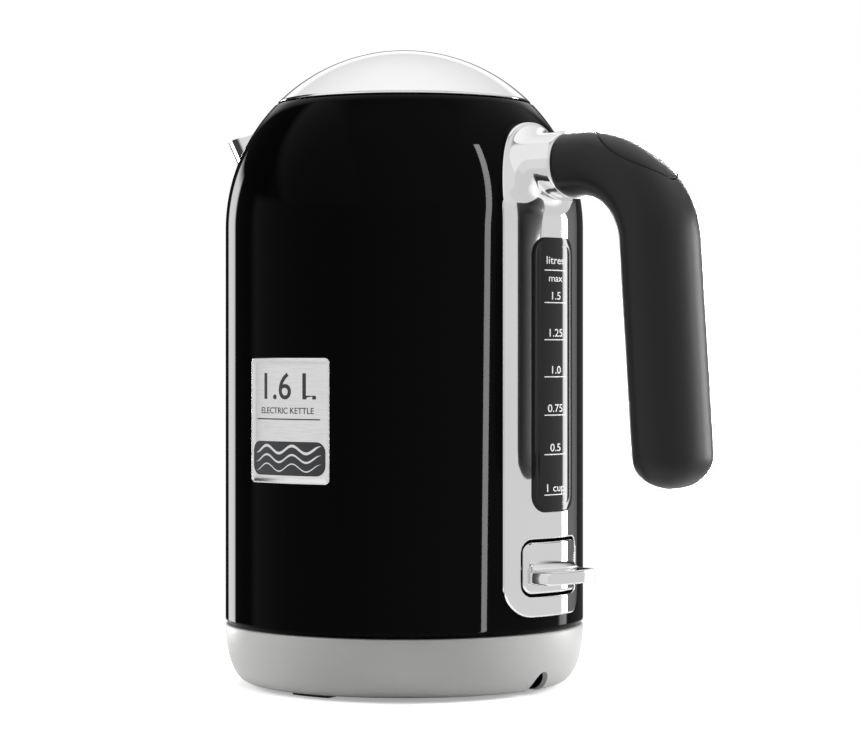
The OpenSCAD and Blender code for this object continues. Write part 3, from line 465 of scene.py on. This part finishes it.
silicone = finish_of("silicone", (0.10, 0.10, 0.105), 0.55, grain=(0.3, 0.003))
aluminium = finish_of("aluminium", (0.72, 0.72, 0.73), 0.38, 1.0, grain=(0.5, 0.003), patches=(14, 0.15))
ivory = finish_of("ivory_plastic", (0.62, 0.58, 0.48), 0.45, grain=(0.4, 0.004), patches=(20, 0.08))
dress(black_plastic, "lid_seat_ring", "kettle_connector", "bottom_cover", "filter_holder", "gauge_clamp",
      "switch_bezel", "lid_liner", "filter_frame")
dress(steel, "heater_plate", "bottom_screws", "handle_core", "handle_screws", "switch_pin", "trip_pin",
      "hinge_bracket", "hinge_pin", "hinge_spring", "button_spring", "release_rod")
dress(silicone, "heater_seal", "gauge_seal")
dress(aluminium, "heat_spreader", "heating_element")
dress(ivory, "control_unit", "trip_lever", "steam_tube")
dress(brass, "kettle_contacts")

# ---------------------------------------------------------------------------------------------------------------
# Spout
# A bright pressed beak, brazed over the opening in the dome. Its rim is nearly level, and its keel leans in from
# the lip to the body. The filter in its opening is black plastic with a fine steel mesh.

chrome = finish_of("polished_chrome", (0.80, 0.80, 0.80), 0.045, 1.0, grain=(14.0, 0.0004), patches=(70, 0.2))
lip_reach, lip_z, keel_lean = 94.9, 231.0, math.tan(math.radians(30))
beak_deep, beak_half, spout_wall = 27.0, 20.0, 1.2
brim_z, brim_rise, beak_low = 230.3, 2.0, 197.0


def beak_points(theta, v, inset, sunk):
    """Points of the beak's sheet. A half ellipse of depth and half width (a, b) is carried along the keel:
    x = -(keel(z) - a + a cos(theta)), y = b sin(theta). Where it would pass inside the body it follows the skin."""
    top = brim_z + brim_rise * (1 - np.cos(theta)) ** 1.5
    z = top + (beak_low - top) * v
    keel = lip_reach - (lip_z - z) * keel_lean - inset * 1.1
    x = keel - beak_deep + (beak_deep - inset) * np.cos(theta) + inset
    y = (beak_half - inset) * np.sin(theta)
    skin = np.sqrt((body_r - sunk) ** 2 - y ** 2 - np.clip(z - dome_z, 0, None) ** 2)
    return np.stack(np.broadcast_arrays(-np.maximum(x, skin), y, z), -1)


theta = np.linspace(-np.pi / 2, np.pi / 2, 61)[None, :]
v = np.linspace(0, 1, 40)[:, None]
outside, inside = beak_points(theta, v, 0.0, 0.5), beak_points(theta, v, spout_wall, 1.0)
lip = (outside[:1] + inside[:1]) / 2 + np.array([0, 0, 0.35])
beak = np.concatenate([lip, outside, (outside[-1:] + inside[-1:]) / 2, inside[::-1]])
for side in (0, -1):
    stub = beak[:, side].copy()
    stub[:, 0] = -np.sqrt((body_r - 0.8) ** 2 - stub[:, 1] ** 2 - np.clip(stub[:, 2] - dome_z, 0, None) ** 2)
    shut = ((stub + np.roll(stub[::-1], 1, 0)) / 2)[:, None]
    extra = np.concatenate([shut, stub[:, None]], 1)
    beak = np.concatenate([extra, beak] if side == 0 else [beak, extra[:, ::-1]], 1)
spout = piece("spout_beak", beak, grid_quads(*beak.shape[:2], True), chrome, sharp=45)
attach(spout, "kettle")
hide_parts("spout")

mesh_steel = finish_of("mesh_steel", (0.55, 0.55, 0.54), 0.35, 1.0, grain=(0.3, 0.002))
dress(mesh_steel, "filter_mesh")

# ---------------------------------------------------------------------------------------------------------------
# Rear plate and neck
# A chrome plate follows the body from below the switch up over the dome. Its face is rounder than the body, so it
# stands proud in the middle. Its top rises in a round flare into the neck that carries the grip.

plate_half, plate_low, plate_top, plate_corner = 24.5, 32.9, 232.0, 11.0
face_x, face_r = 33.77, 45.0
shoulder_z = plate_top - 38
neck_z, grip_w, grip_t, oval_power, grip_x = 213.8, 38.0, 27.0, 2.3, 89.0
switch_z, switch_w, switch_h, switch_corner = 52.5, 36.6, 23.0, 5.0
edge, split_z = 0.6, 70.0
flare_most, neck_rise, plate_sheet = 8.0, 8.5, 0.7


def on_face(y, z, t):
    """Points t off the plate's face over (y, z): a cylinder of radius face_r + t round (face_x, 0), upright up to
    the dome's foot and bent round the dome's middle above it."""
    y, z, t = np.broadcast_arrays(y, z, t)
    reach = face_x + np.sqrt(np.clip((face_r + t) ** 2 - y ** 2, 0, None))
    return np.stack([np.sqrt(np.clip(reach ** 2 - np.clip(z - dome_z, 0, None) ** 2, 0, None)), y, z], -1)


def on_skin(y, z, t):
    """Points t off the body's outside over (y, z): x is the root of (R + t)^2 - y^2 - (height over the dome)^2."""
    x = np.sqrt(np.clip((body_r + t) ** 2 - y ** 2 - np.clip(z - dome_z, 0, None) ** 2, 0, None))
    return np.stack(np.broadcast_arrays(x, y, z), -1)


def oval_reach(angle, w, h):
    """Reach of a superellipse, w wide and h high, in the direction of the angle."""
    c, q = np.abs(np.cos(angle)) * 2 / w, np.abs(np.sin(angle)) * 2 / h
    return (c ** oval_power + q ** oval_power) ** (-1 / oval_power)


def outline_reach(outline, centre, angle):
    """Reach of a closed outline from a centre inside it, in the direction of the angle."""
    d = outline - np.array(centre)
    a, r = np.arctan2(d[:, 1], d[:, 0]), np.linalg.norm(d, axis=1)
    order = np.argsort(a)
    return np.interp(angle, a[order], r[order], period=2 * np.pi)


def rounded(w, h, corner, centre, steps=8, inset=0.0):
    """A rounded rectangle's outline, with points along its sides too."""
    w, h, r = w / 2 - inset, h / 2 - inset, max(corner - inset, 0.2)
    ring = fillet([(-w, -h), (w, -h), (w, h), (-w, h)], [r] * 4, steps)
    return spread(ring, 1.5) + np.array(centre)


def spread(ring, step):
    """The same closed outline with points added so that none are further apart than a step."""
    after = np.roll(ring, -1, 0)
    n = np.maximum(1, np.ceil(np.linalg.norm(after - ring, axis=1) / step).astype(int))
    which = np.repeat(np.arange(len(ring)), n)
    share = (np.arange(n.sum()) - np.repeat(np.cumsum(n) - n, n)) / np.repeat(n, n)
    return ring[which] + (after - ring)[which] * share[:, None]


def shrunk(ring, d):
    """A closed outline moved inwards by d along the normals of its points. It runs anticlockwise."""
    along = np.roll(ring, -1, 0) - np.roll(ring, 1, 0)
    along /= np.linalg.norm(along, axis=1, keepdims=True)
    return ring + d * np.stack([-along[:, 1], along[:, 0]], -1)


def filled(ring, middle, core, profile, spot, fill=9):
    """A slab over a closed outline as one closed grid. The profile lists (inset, height) from its back to its front,
    both ends are filled towards a box of half sizes core, and spot(y, z, t) puts each point in its place."""
    k = np.linspace(0, 1, fill, endpoint=False)
    rows = []
    for (inset, t), ends in [(profile[0], k)] + [(p, [1.0]) for p in profile] + [(profile[-1], k[::-1])]:
        line = shrunk(ring, inset)
        bone = np.clip(line - middle, -core, core) + middle
        rows += [spot(*(bone + (line - bone) * e).T, t) for e in ends]
    grid = np.stack(rows)
    return grid, grid_quads(*grid.shape[:2], False, True)


def plaque(w, h, corner, centre, profile, spot, fill=9):
    """The same over a rounded rectangle, w by h."""
    core = np.maximum(np.array([w - h, h - w]) / 2, 0)
    return filled(rounded(w, h, corner, centre), np.array(centre), core, profile, spot, fill)


t = np.linspace(0, np.pi, 91)
crown = np.stack([plate_half * np.sign(np.cos(t)) * np.abs(np.cos(t)) ** 0.86,
                  shoulder_z + (plate_top - shoulder_z) * np.sin(t) ** 0.86], -1)
low = plate_low + plate_corner
t = np.linspace(0, np.pi / 2, 10)
foot_arc = np.stack([-plate_half + plate_corner * (1 - np.cos(t)), low - plate_corner * np.sin(t)], -1)
down = np.linspace(shoulder_z, low, 46)[1:]
down = np.unique(np.concatenate([down, [split_z]]))[::-1]
left = np.concatenate([np.stack([np.full(len(down), -plate_half), down], -1), foot_arc[1:]])
bottom = np.stack([np.linspace(-plate_half + plate_corner, plate_half - plate_corner, 15)[1:-1],
                   np.full(13, plate_low)], -1)
right = left[::-1] * np.array([-1, 1])
outline = np.concatenate([crown, left, bottom, right])
inner = shrunk(outline, edge)
high = inner[:, 1] >= split_z - 1e-6
split_y = np.linspace(-1, 1, 25)[1:-1] * (plate_half - edge)
split = np.stack([split_y, np.full(len(split_y), split_z)], -1)
turn_at = np.flatnonzero(high & ~np.roll(high, -1))[0]
start_at = np.flatnonzero(high & ~np.roll(high, 1))[0]
order = np.arange(start_at, start_at + len(inner)) % len(inner)
order = order[:np.flatnonzero(order == turn_at)[0] + 1]
upper = np.concatenate([inner[order], split])
order = np.arange(turn_at, turn_at + len(inner)) % len(inner)
order = order[:np.flatnonzero(order == start_at)[0] + 1]
lower = np.concatenate([inner[order], split[::-1]])


def edge_strip(ring, sign, low):
    """The rounded edge along a sheet's outline: a quarter circle out from the ring and down, then down to low off
    the body's outside."""
    a = np.linspace(0, np.pi / 2, 6)
    rows = [on_face(*shrunk(ring, -sign * edge * np.sin(q)).T, -0.9 * edge * (1 - np.cos(q))) for q in a]
    return np.stack(rows + [on_skin(*shrunk(ring, -sign * edge).T, low)])


def joined(*grids):
    """Points and quads of several (points, quads) meshes as one."""
    base = np.cumsum([0] + [g[0].reshape(-1, 3).shape[0] for g in grids])
    return np.concatenate([g[0].reshape(-1, 3) for g in grids]), np.concatenate([g[1] + b for g, b in zip(grids, base)])


# The flare: from the neck's oval a quarter turn brings the surface down onto the plate, tighter at its top.
away = upper - np.array([0, neck_z])
bearing = np.arctan2(away[:, 1], away[:, 0])
reach, ring_reach = np.linalg.norm(away, axis=1), oval_reach(bearing, grip_w, grip_t)
flare_out = np.minimum(flare_most, (reach - ring_reach) * 0.985)
k = np.linspace(0, 1, 60)[:, None] ** 1.25
span = ring_reach + flare_out + (reach - ring_reach - flare_out) * k
field = on_face(span * np.cos(bearing), neck_z + span * np.sin(bearing), 0.0)
field[-1] = on_face(upper[:, 0], upper[:, 1], 0.0)
a = np.linspace(0, np.pi / 2, 17)[:-1][:, None]
span = ring_reach + flare_out * (1 - np.cos(a))
rise = on_face(span * np.cos(bearing), neck_z + span * np.sin(bearing), 0.0)
rise[..., 0] += neck_rise * (1 - np.sin(a)) * np.ones_like(span)
k = np.linspace(0, 1, 6)[:-1][:, None, None]
end = rise[0].copy()
end[:, 0] = grip_x
neck = end[None] + (rise[0][None] - end[None]) * k
y, z = lower[:, 0], lower[:, 1] - switch_z
bearing = np.arctan2(z, y)
hole = rounded(switch_w, switch_h, switch_corner, (0, switch_z), inset=-edge)
hole_reach = outline_reach(hole, (0, switch_z), bearing)
k = np.linspace(0, 1, 12)[:, None]
span = hole_reach + (np.hypot(y, z) - hole_reach) * k
apron = on_face(span * np.cos(bearing), switch_z + span * np.sin(bearing), 0.0)
apron[-1] = on_face(lower[:, 0], lower[:, 1], 0.0)
hole_ring = np.stack([hole_reach * np.cos(bearing), switch_z + hole_reach * np.sin(bearing)], -1)
lip = edge_strip(hole_ring, -1, 0.05)[::-1]
lip[-1] = apron[0]
grids = [np.concatenate([neck, rise, field]), np.concatenate([lip, apron[1:]]), edge_strip(inner, 1, 0.02)]
points, quads = joined(*[(g, grid_quads(*g.shape[:2], False, True)) for g in grids])
plate = piece("rear_plate", points, quads, chrome, sharp=50)
thick = plate.modifiers.new("sheet", "SOLIDIFY")
thick.thickness, thick.offset = plate_sheet * mm, -1
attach(plate, "kettle")
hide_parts("handle_plate")

# ---------------------------------------------------------------------------------------------------------------
# Gauge
# A smoked window lies flush in the plate, with a raised border and a printed scale in litres. Studs behind it
# hold it to the body through a seal.

smoked = finish_of("smoked_window", (0.008, 0.008, 0.009), 0.04, grain=(20.0, 0.0003), patches=(40, 0.1),
                   Specular_IOR_Level=0.22)
gauge_w, gauge_h, gauge_z, gauge_corner = 28.0, 110.4, 129.8, 7.0
window = piece("gauge_glass", *plaque(gauge_w, gauge_h, gauge_corner, (0, gauge_z), [
    (0, -0.5), (0, 0.0), (0.1, 0.10), (0.3, 0.15), (2.5, 0.15), (2.8, 0.11), (3.0, 0.05), (3.5, 0.05),
    (3.8, 0.09), (4.1, 0.10)], on_face), smoked, sharp=60)
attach(window, "kettle")
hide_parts("gauge_window")


def lettering(text, size, centre, widen, thick=0.03):
    """A word as a thin closed mesh, flat, centred and widened: (points, triangles)."""
    word = bpy.data.curves.new("word", "FONT")
    word.body, word.size, word.align_x, word.align_y = text, size, "CENTER", "CENTER"
    word.extrude, word.offset, word.resolution_u = thick, size * 0.006, 4
    holder = bpy.data.objects.new("word", word)
    bpy.context.collection.objects.link(holder)
    bpy.context.view_layer.update()
    mesh = holder.evaluated_get(bpy.context.evaluated_depsgraph_get()).to_mesh()
    flat = np.empty(len(mesh.vertices) * 3)
    mesh.vertices.foreach_get("co", flat)
    mesh.calc_loop_triangles()
    tris = np.empty(len(mesh.loop_triangles) * 3, int)
    mesh.loop_triangles.foreach_get("vertices", tris)
    bpy.data.objects.remove(holder)
    return flat.reshape(-1, 3) * np.array([widen, 1, 1]) + np.array([*centre, 0]), tris.reshape(-1, 3)


def printed(name, words, bars, spot, height, material, widen=1.0):
    """Words and plain bars as one thin print on a surface. A bar is (centre y, centre z, width, height)."""
    parts = []
    for text, size, centre in words:
        flat, tris = lettering(text, size, centre, widen)
        parts.append((spot(flat[:, 0], flat[:, 1], height + flat[:, 2]), tris))
    for y, z, w, h in bars:
        slab, quads = plaque(w, h, min(w, h) * 0.3, (y, z), [(0, height - 0.03), (0, height + 0.03)], spot, 3)
        parts.append((slab, np.concatenate([quads[:, :3], quads[:, [0, 2, 3]]])))
    return piece(name, *joined(*parts), material)


paint = finish_of("white_print", (0.62, 0.62, 0.61), 0.5, grain=(0.3, 0.002), patches=(5, 0.06))
# Each mark: its height, its word, and how far above it the word stands
scale = [(171.8, "max", -3.3), (158.8, "1.5", 2.6), (143.9, "1.25", 2.6), (129.0, "1.0", 2.6), (113.6, "0.75", 2.6),
         (97.8, "0.5", 2.6), (81.6, "1 cup", 2.6)]
words = [(word, 4.4 if word != "max" else 4.0, (-0.6, z + rise)) for z, word, rise in scale]
words.append(("litres", 4.4, (-0.6, 175.7)))
bars = [(-0.5, z, 14.0, 0.42) for z, _, _ in scale]
marks = printed("gauge_scale", words, bars, on_face, 0.15, paint, 1.35)
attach(marks, "kettle")
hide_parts("gauge_window")

# ---------------------------------------------------------------------------------------------------------------
# Switch
# A bright rocker fills the opening at the foot of the plate. A rounded shelf stands out from its middle for the
# finger, and meets its face in a hollow curve.

rocker_w, rocker_h, rocker_corner = 34.4, 20.8, 4.0
shelf_half, shelf_front, shelf_back, shelf_corner = 15.5, 88.5, 70.0, 2.0
shelf_low, shelf_high, shelf_hollow = 46.0, 51.4, 4.3
shelf_bow, shelf_soft = 1.2, 0.8


def shelf_points(half, front, corner, low, high, hollow):
    """The shelf as a closed grid. Its plan runs out along one side, round the front and back. Each column goes from
    the face along the underside, round the rim and along the top, which climbs to the face in a quarter circle."""
    a = np.linspace(0, np.pi / 2, 10)
    turn_x = front - shelf_bow - corner
    side = np.linspace(shelf_back, turn_x, 12)[:-1]
    path = np.concatenate([np.stack([side, np.full(len(side), -half)], -1),
                           np.stack([turn_x + corner * np.sin(a), -half + corner - corner * np.cos(a)], -1)])
    straight = np.linspace(-half + corner, half - corner, 23)[1:-1]
    straight = np.stack([front - (straight / (half - corner)) ** 2 * shelf_bow, straight], -1)
    path = np.concatenate([path, straight, path[::-1] * np.array([1, -1])])
    along = np.gradient(path, axis=0)
    along /= np.linalg.norm(along, axis=1, keepdims=True)
    inward = np.stack([-along[:, 1], along[:, 0]], -1)
    root_y = path[:, 1] * 0.96
    root_x = face_x + np.sqrt(face_r ** 2 - root_y ** 2) - 0.4
    root = np.stack([root_x, root_y], -1)
    soft = shelf_soft
    rows = [np.stack([root_x, root_y, np.full_like(root_x, low)], -1)]
    for s in np.linspace(0, np.pi, 13):
        inset = soft * (1 - np.sin(s))
        z = low + soft * (1 - np.cos(s)) if s <= np.pi / 2 else high - soft * (1 + np.cos(s))
        plan = path + inward * inset
        rows.append(np.stack([plan[:, 0], plan[:, 1], np.full(len(plan), z)], -1))
    rim = path + inward * soft
    for k in 1 - (1 - np.linspace(0, 1, 22)[1:]) ** 2:
        plan = rim * (1 - k) + root * k
        gap = plan[:, 0] - face_x - np.sqrt(face_r ** 2 - np.clip(plan[:, 1], -half, half) ** 2)
        climb = np.clip(hollow - np.clip(gap, 0, hollow), 0, hollow)
        z = high + hollow - np.sqrt(hollow ** 2 - climb ** 2)
        rows.append(np.stack([np.maximum(plan[:, 0], root_x), plan[:, 1], z], -1))
    grid = np.stack(rows)
    ends = np.array([[[shelf_back, s * half, (low + high) / 2]] for s in (-1, 1)])
    grid = np.concatenate([np.repeat(ends[0][None], len(grid), 0), grid, np.repeat(ends[1][None], len(grid), 0)], 1)
    return grid, grid_quads(*grid.shape[:2], True)


face = plaque(rocker_w, rocker_h, rocker_corner, (0, switch_z), [
    (0.3, -3.4), (0, -3.2), (0, -0.75), (0.12, -0.35), (0.4, -0.1), (0.8, 0)], on_face)
shelf = shelf_points(shelf_half, shelf_front, shelf_corner, shelf_low, shelf_high, shelf_hollow)
rocker = piece("rocker", *joined(face, shelf), chrome, sharp=50)
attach(rocker, "switch")
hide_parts("switch_rocker")

# ---------------------------------------------------------------------------------------------------------------
# Badge
# A plain silver plate on the body's side with a fine raised rim, the volume in dark letters above, and a dark band
# with silver waves below.

badge_w, badge_h, badge_z, badge_turn = 41.5, 50.2, 111.5, -math.pi / 2
band_up, band_h, wave_margin, wave_step = 10.0, 13.6, 3.4, 3.6


def on_side(y, z, t):
    """Points t off the body's side over (y, z), with y measured along the skin from the badge's middle."""
    y, z, t = np.broadcast_arrays(y, z, t)
    a = badge_turn + y / body_r
    return np.stack([(body_r + t) * np.cos(a), (body_r + t) * np.sin(a), z], -1)


def brushed(name, colour, roughness, stretch):
    """Brushed metal: noise drawn out along the plate's length changes the grey a little."""
    material = finish_of(name, colour, roughness, 1.0)
    tree = material.node_tree
    shader = tree.nodes["Principled BSDF"]
    where = tree.nodes.new("ShaderNodeTexCoord").outputs["Object"]
    scale = tree.nodes.new("ShaderNodeMapping")
    scale.inputs["Scale"].default_value = stretch
    tree.links.new(where, scale.inputs["Vector"])
    lines = tree.nodes.new("ShaderNodeTexNoise")
    lines.inputs["Scale"].default_value = 1.0
    lines.inputs["Detail"].default_value = 3
    tree.links.new(scale.outputs[0], lines.inputs["Vector"])
    tint = tree.nodes.new("ShaderNodeMix")
    tint.data_type = "RGBA"
    tint.inputs["A"].default_value = (*[c * 0.86 for c in colour], 1)
    tint.inputs["B"].default_value = (*[min(1, c * 1.12) for c in colour], 1)
    tree.links.new(lines.outputs["Fac"], tint.inputs["Factor"])
    tree.links.new(tint.outputs["Result"], shader.inputs["Base Color"])
    return material


silver = brushed("brushed_badge", (0.80, 0.80, 0.80), 0.24, (150, 150, 2600))
slab = plaque(badge_w, badge_h, 2.0, (0, badge_z), [
    (0, 0.02), (0, 0.5), (0.08, 0.62), (0.3, 0.68), (0.55, 0.68), (0.75, 0.60), (0.85, 0.5)], on_side)
badge = piece("badge_plate_face", *slab, silver, sharp=50)
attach(badge, "kettle")
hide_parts("badge_plate")

ink = finish_of("dark_print", (0.02, 0.021, 0.024), 0.35, grain=(0.3, 0.002), patches=(6, 0.1))
low_z = badge_z - badge_h / 2
words = [("1.6 L", 15.0, (0, badge_z + 13.2)), ("ELECTRIC KETTLE", 3.5, (0, badge_z + 3.9))]
bars = [(0, low_z + band_up, badge_w - wave_margin, band_h), (0, badge_z + 0.6, badge_w - 8, 0.5)]
print_dark = printed("badge_print", words, bars, on_side, 0.52, ink)
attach(print_dark, "kettle")
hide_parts("badge_plate")


def wave(z, thick, tall, turns, height):
    """A wavy line as a closed grid that runs out to a point at both ends: z + tall sin(2 pi turns y / badge_w)."""
    y = np.linspace(-badge_w / 2 + wave_margin, badge_w / 2 - wave_margin, 121)[None, :]
    corner = np.array([[-1, -1], [1, -1], [1, 1], [-1, 1]])
    middle = z + tall * np.sin(2 * np.pi * turns * y / badge_w)
    fade = np.clip((badge_w / 2 - wave_margin - np.abs(y)) / 3, 0.02, 1)
    grid = on_side(y, middle + corner[:, :1] * thick / 2 * fade, height + corner[:, 1:] * 0.03)
    return grid, grid_quads(*grid.shape[:2], True)


waves = piece("badge_waves", *joined(*[wave(low_z + band_up + k * wave_step, thick, 1.5, 3, 0.57)
                                       for k, thick in ((1, 1.1), (0, 0.8), (-1, 0.5))]), silver)
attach(waves, "kettle")
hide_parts("badge_plate")

# ---------------------------------------------------------------------------------------------------------------
# Grip
# A black moulding with a softly matt surface, screwed to a steel core. It arches over from the neck, and its
# limb hangs down and outwards to a round end. A lens-shaped pocket at the top of the arch takes the button.

arch_x, arch_z, arch_r, lean, limb = 95.6, neck_z - 33.5, 33.5, math.radians(4), 84.0
pad_turn, pad_half, pad_side = math.radians(31), 20.6, 15.6
pad_lens, pocket, pocket_edge = (pad_half ** 2 + pad_side ** 2) / (2 * pad_side), 2.6, 0.3


def grip_surface(s, phi, shrink=0.0, tau=0.0):
    """Points of the grip at s mm from the neck. The middle line runs straight, round the arch, then down the leaning
    limb, and carries the oval; phi is 0 outwards and a quarter turn towards +Y. At the limb's end each half of the
    oval turns about the line across it by tau: u -> u cos(tau), along -> along + |u| sin(tau)."""
    start, arc = arch_x - grip_x, arch_r * (np.pi / 2 - lean)
    a = np.pi / 2 - np.clip(s - start, 0, arc) / arch_r
    along = np.clip(s - start - arc, 0, None)
    c, q = np.cos(phi), np.sin(phi)
    r = (np.abs(c / (grip_t / 2)) ** oval_power + np.abs(q / (grip_w / 2)) ** oval_power) ** (-1 / oval_power)
    u, y = (r - shrink) * c, (r - shrink) * q
    along = along + np.abs(u) * np.sin(tau)
    u = u * np.cos(tau)
    x = arch_x + arch_r * np.cos(a) + np.minimum(s - start, 0) + along * np.sin(lean)
    z = arch_z + arch_r * np.sin(a) - along * np.cos(lean)
    # Inside the lens, seen square to it, the surface drops by the pocket's depth.
    px, pz = x + u * np.cos(a) - arch_x, z + u * np.sin(a) - arch_z
    down = px * np.cos(pad_turn) - pz * np.sin(pad_turn)
    out = px * np.sin(pad_turn) + pz * np.cos(pad_turn)
    inside = pad_lens - np.hypot(down, np.abs(y) + pad_lens - pad_side)
    drop = pocket * np.clip(inside / pocket_edge, 0, 1) * (out > arch_r)
    return np.stack(np.broadcast_arrays(x + (u - drop) * np.cos(a), y, z + (u - drop) * np.sin(a)), -1)


soft_black = finish_of("soft_black", (0.0125, 0.0125, 0.0125), 0.36, grain=(0.25, 0.006), patches=(30, 0.06),
                       Specular_IOR_Level=0.25)
start, arc = arch_x - grip_x, arch_r * (np.pi / 2 - lean)
stem = start + arc + limb
s = np.concatenate([np.linspace(0.3, start, 6)[:-1], start + np.linspace(0, 2.2, 4)[:-1],
                    start + np.linspace(2.2, 34.2, 176)[:-1], start + np.linspace(34.2, arc, 16)[:-1],
                    start + arc + np.linspace(0, limb, 26)])[:, None]
fine = np.radians(np.arange(-80, 80, 1.0))
phi = np.concatenate([fine, np.radians(np.linspace(80, 280, 56)[:-1])])[None, :]
tau = np.linspace(0, np.pi / 2, 15)[1:, None]
mouth = [grip_surface(np.array([[q]]), phi, w) for q, w in ((0.06, 5.0), (0.06, 0.5), (0.12, 0.25), (0.3, 0.08))]
skin = np.concatenate(mouth + [grip_surface(s, phi)[1:], grip_surface(np.full_like(tau, stem), phi, 0.0, tau)])
centre = np.broadcast_to(skin[0].mean(0), skin[:1].shape)
skin = np.concatenate([centre, skin])
grip = piece("grip", skin, grid_quads(*skin.shape[:2], False, True), soft_black, sharp=40)
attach(grip, "kettle")
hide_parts("handle_grip")

# ---------------------------------------------------------------------------------------------------------------
# Lid button
# The thumb button fills the pocket in the grip. It lies flush with the grip, with a fine seam round it, and its
# lower tip is cut short.

fit_along, fit_across, tip_cut = 0.985, 0.972, 19.3


def on_pad(a, y, t):
    """Points t off the grip's back over the button's plan: a runs down the arch and y across. The height over the
    plan is sqrt((arch_r + u(y))^2 - a^2), where u is the oval's reach at y."""
    u = grip_t / 2 * np.clip(1 - np.abs(2 * y / grip_w) ** oval_power, 0, 1) ** (1 / oval_power)
    h = np.sqrt((arch_r + u) ** 2 - a ** 2) + t
    return np.stack([arch_x + h * np.sin(pad_turn) + a * np.cos(pad_turn), y,
                     arch_z + h * np.cos(pad_turn) - a * np.sin(pad_turn)], -1)


q = np.linspace(-1, 1, 61)[:-1] * math.asin(pad_half / pad_lens)
side = np.stack([pad_lens * np.sin(q), -pad_lens * np.cos(q) + pad_lens - pad_side], -1)
lens_ring = np.concatenate([side, -side])
lens_ring[:, 0] = np.minimum(lens_ring[:, 0] * fit_along, tip_cut)
lens_ring[:, 1] *= fit_across
cap = filled(lens_ring, np.zeros(2), np.array([4.0, 0.0]), [
    (0.1, -2.3), (0.1, -0.5), (0.16, -0.25), (0.32, -0.08), (0.6, 0.0)], on_pad, 14)
thumb = piece("thumb_button_cap", *cap, soft_black, sharp=50)
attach(thumb, "button")
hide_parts("thumb_button")
light_only(softbox("grip_rim", 164, 0.25, 1.1, 0.5, 0.9, 230), grip, thumb)

# ---------------------------------------------------------------------------------------------------------------
# Lid
# A polished dome closes over the body's rim and carries on the curve of its shoulder. A black liner with the
# hinge's arms and the catch is fixed under it.

lid_in, lid_wall, lid_low = 49.8, 1.2, 243.05
turn_from = math.asin((lid_low + 0.4 - dome_z) / body_r)
crown = np.linspace(np.pi / 2, turn_from, 56)
outer = np.stack([body_r * np.cos(crown), dome_z + body_r * np.sin(crown)], -1)
crown = np.linspace(np.pi / 2, math.acos(lid_in / (body_r - lid_wall)), 48)
inner = np.stack([(body_r - lid_wall) * np.cos(crown), dome_z + (body_r - lid_wall) * np.sin(crown)], -1)
edge_low = np.array([[outer[-1, 0] - 0.02, lid_low + 0.15], [outer[-1, 0] - 0.25, lid_low], [lid_in + 0.3, lid_low],
                     [lid_in, lid_low + 0.3]])
points, quads = turned(np.concatenate([outer, edge_low, inner[::-1]]), np.linspace(0, 2 * np.pi, 192, endpoint=False))
quads = quads[quads[:, 0] % points.shape[1] < points.shape[1] - 1]
lid = piece("lid_shell", points, quads, chrome, sharp=50)
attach(lid, "lid")
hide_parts("lid_dome")
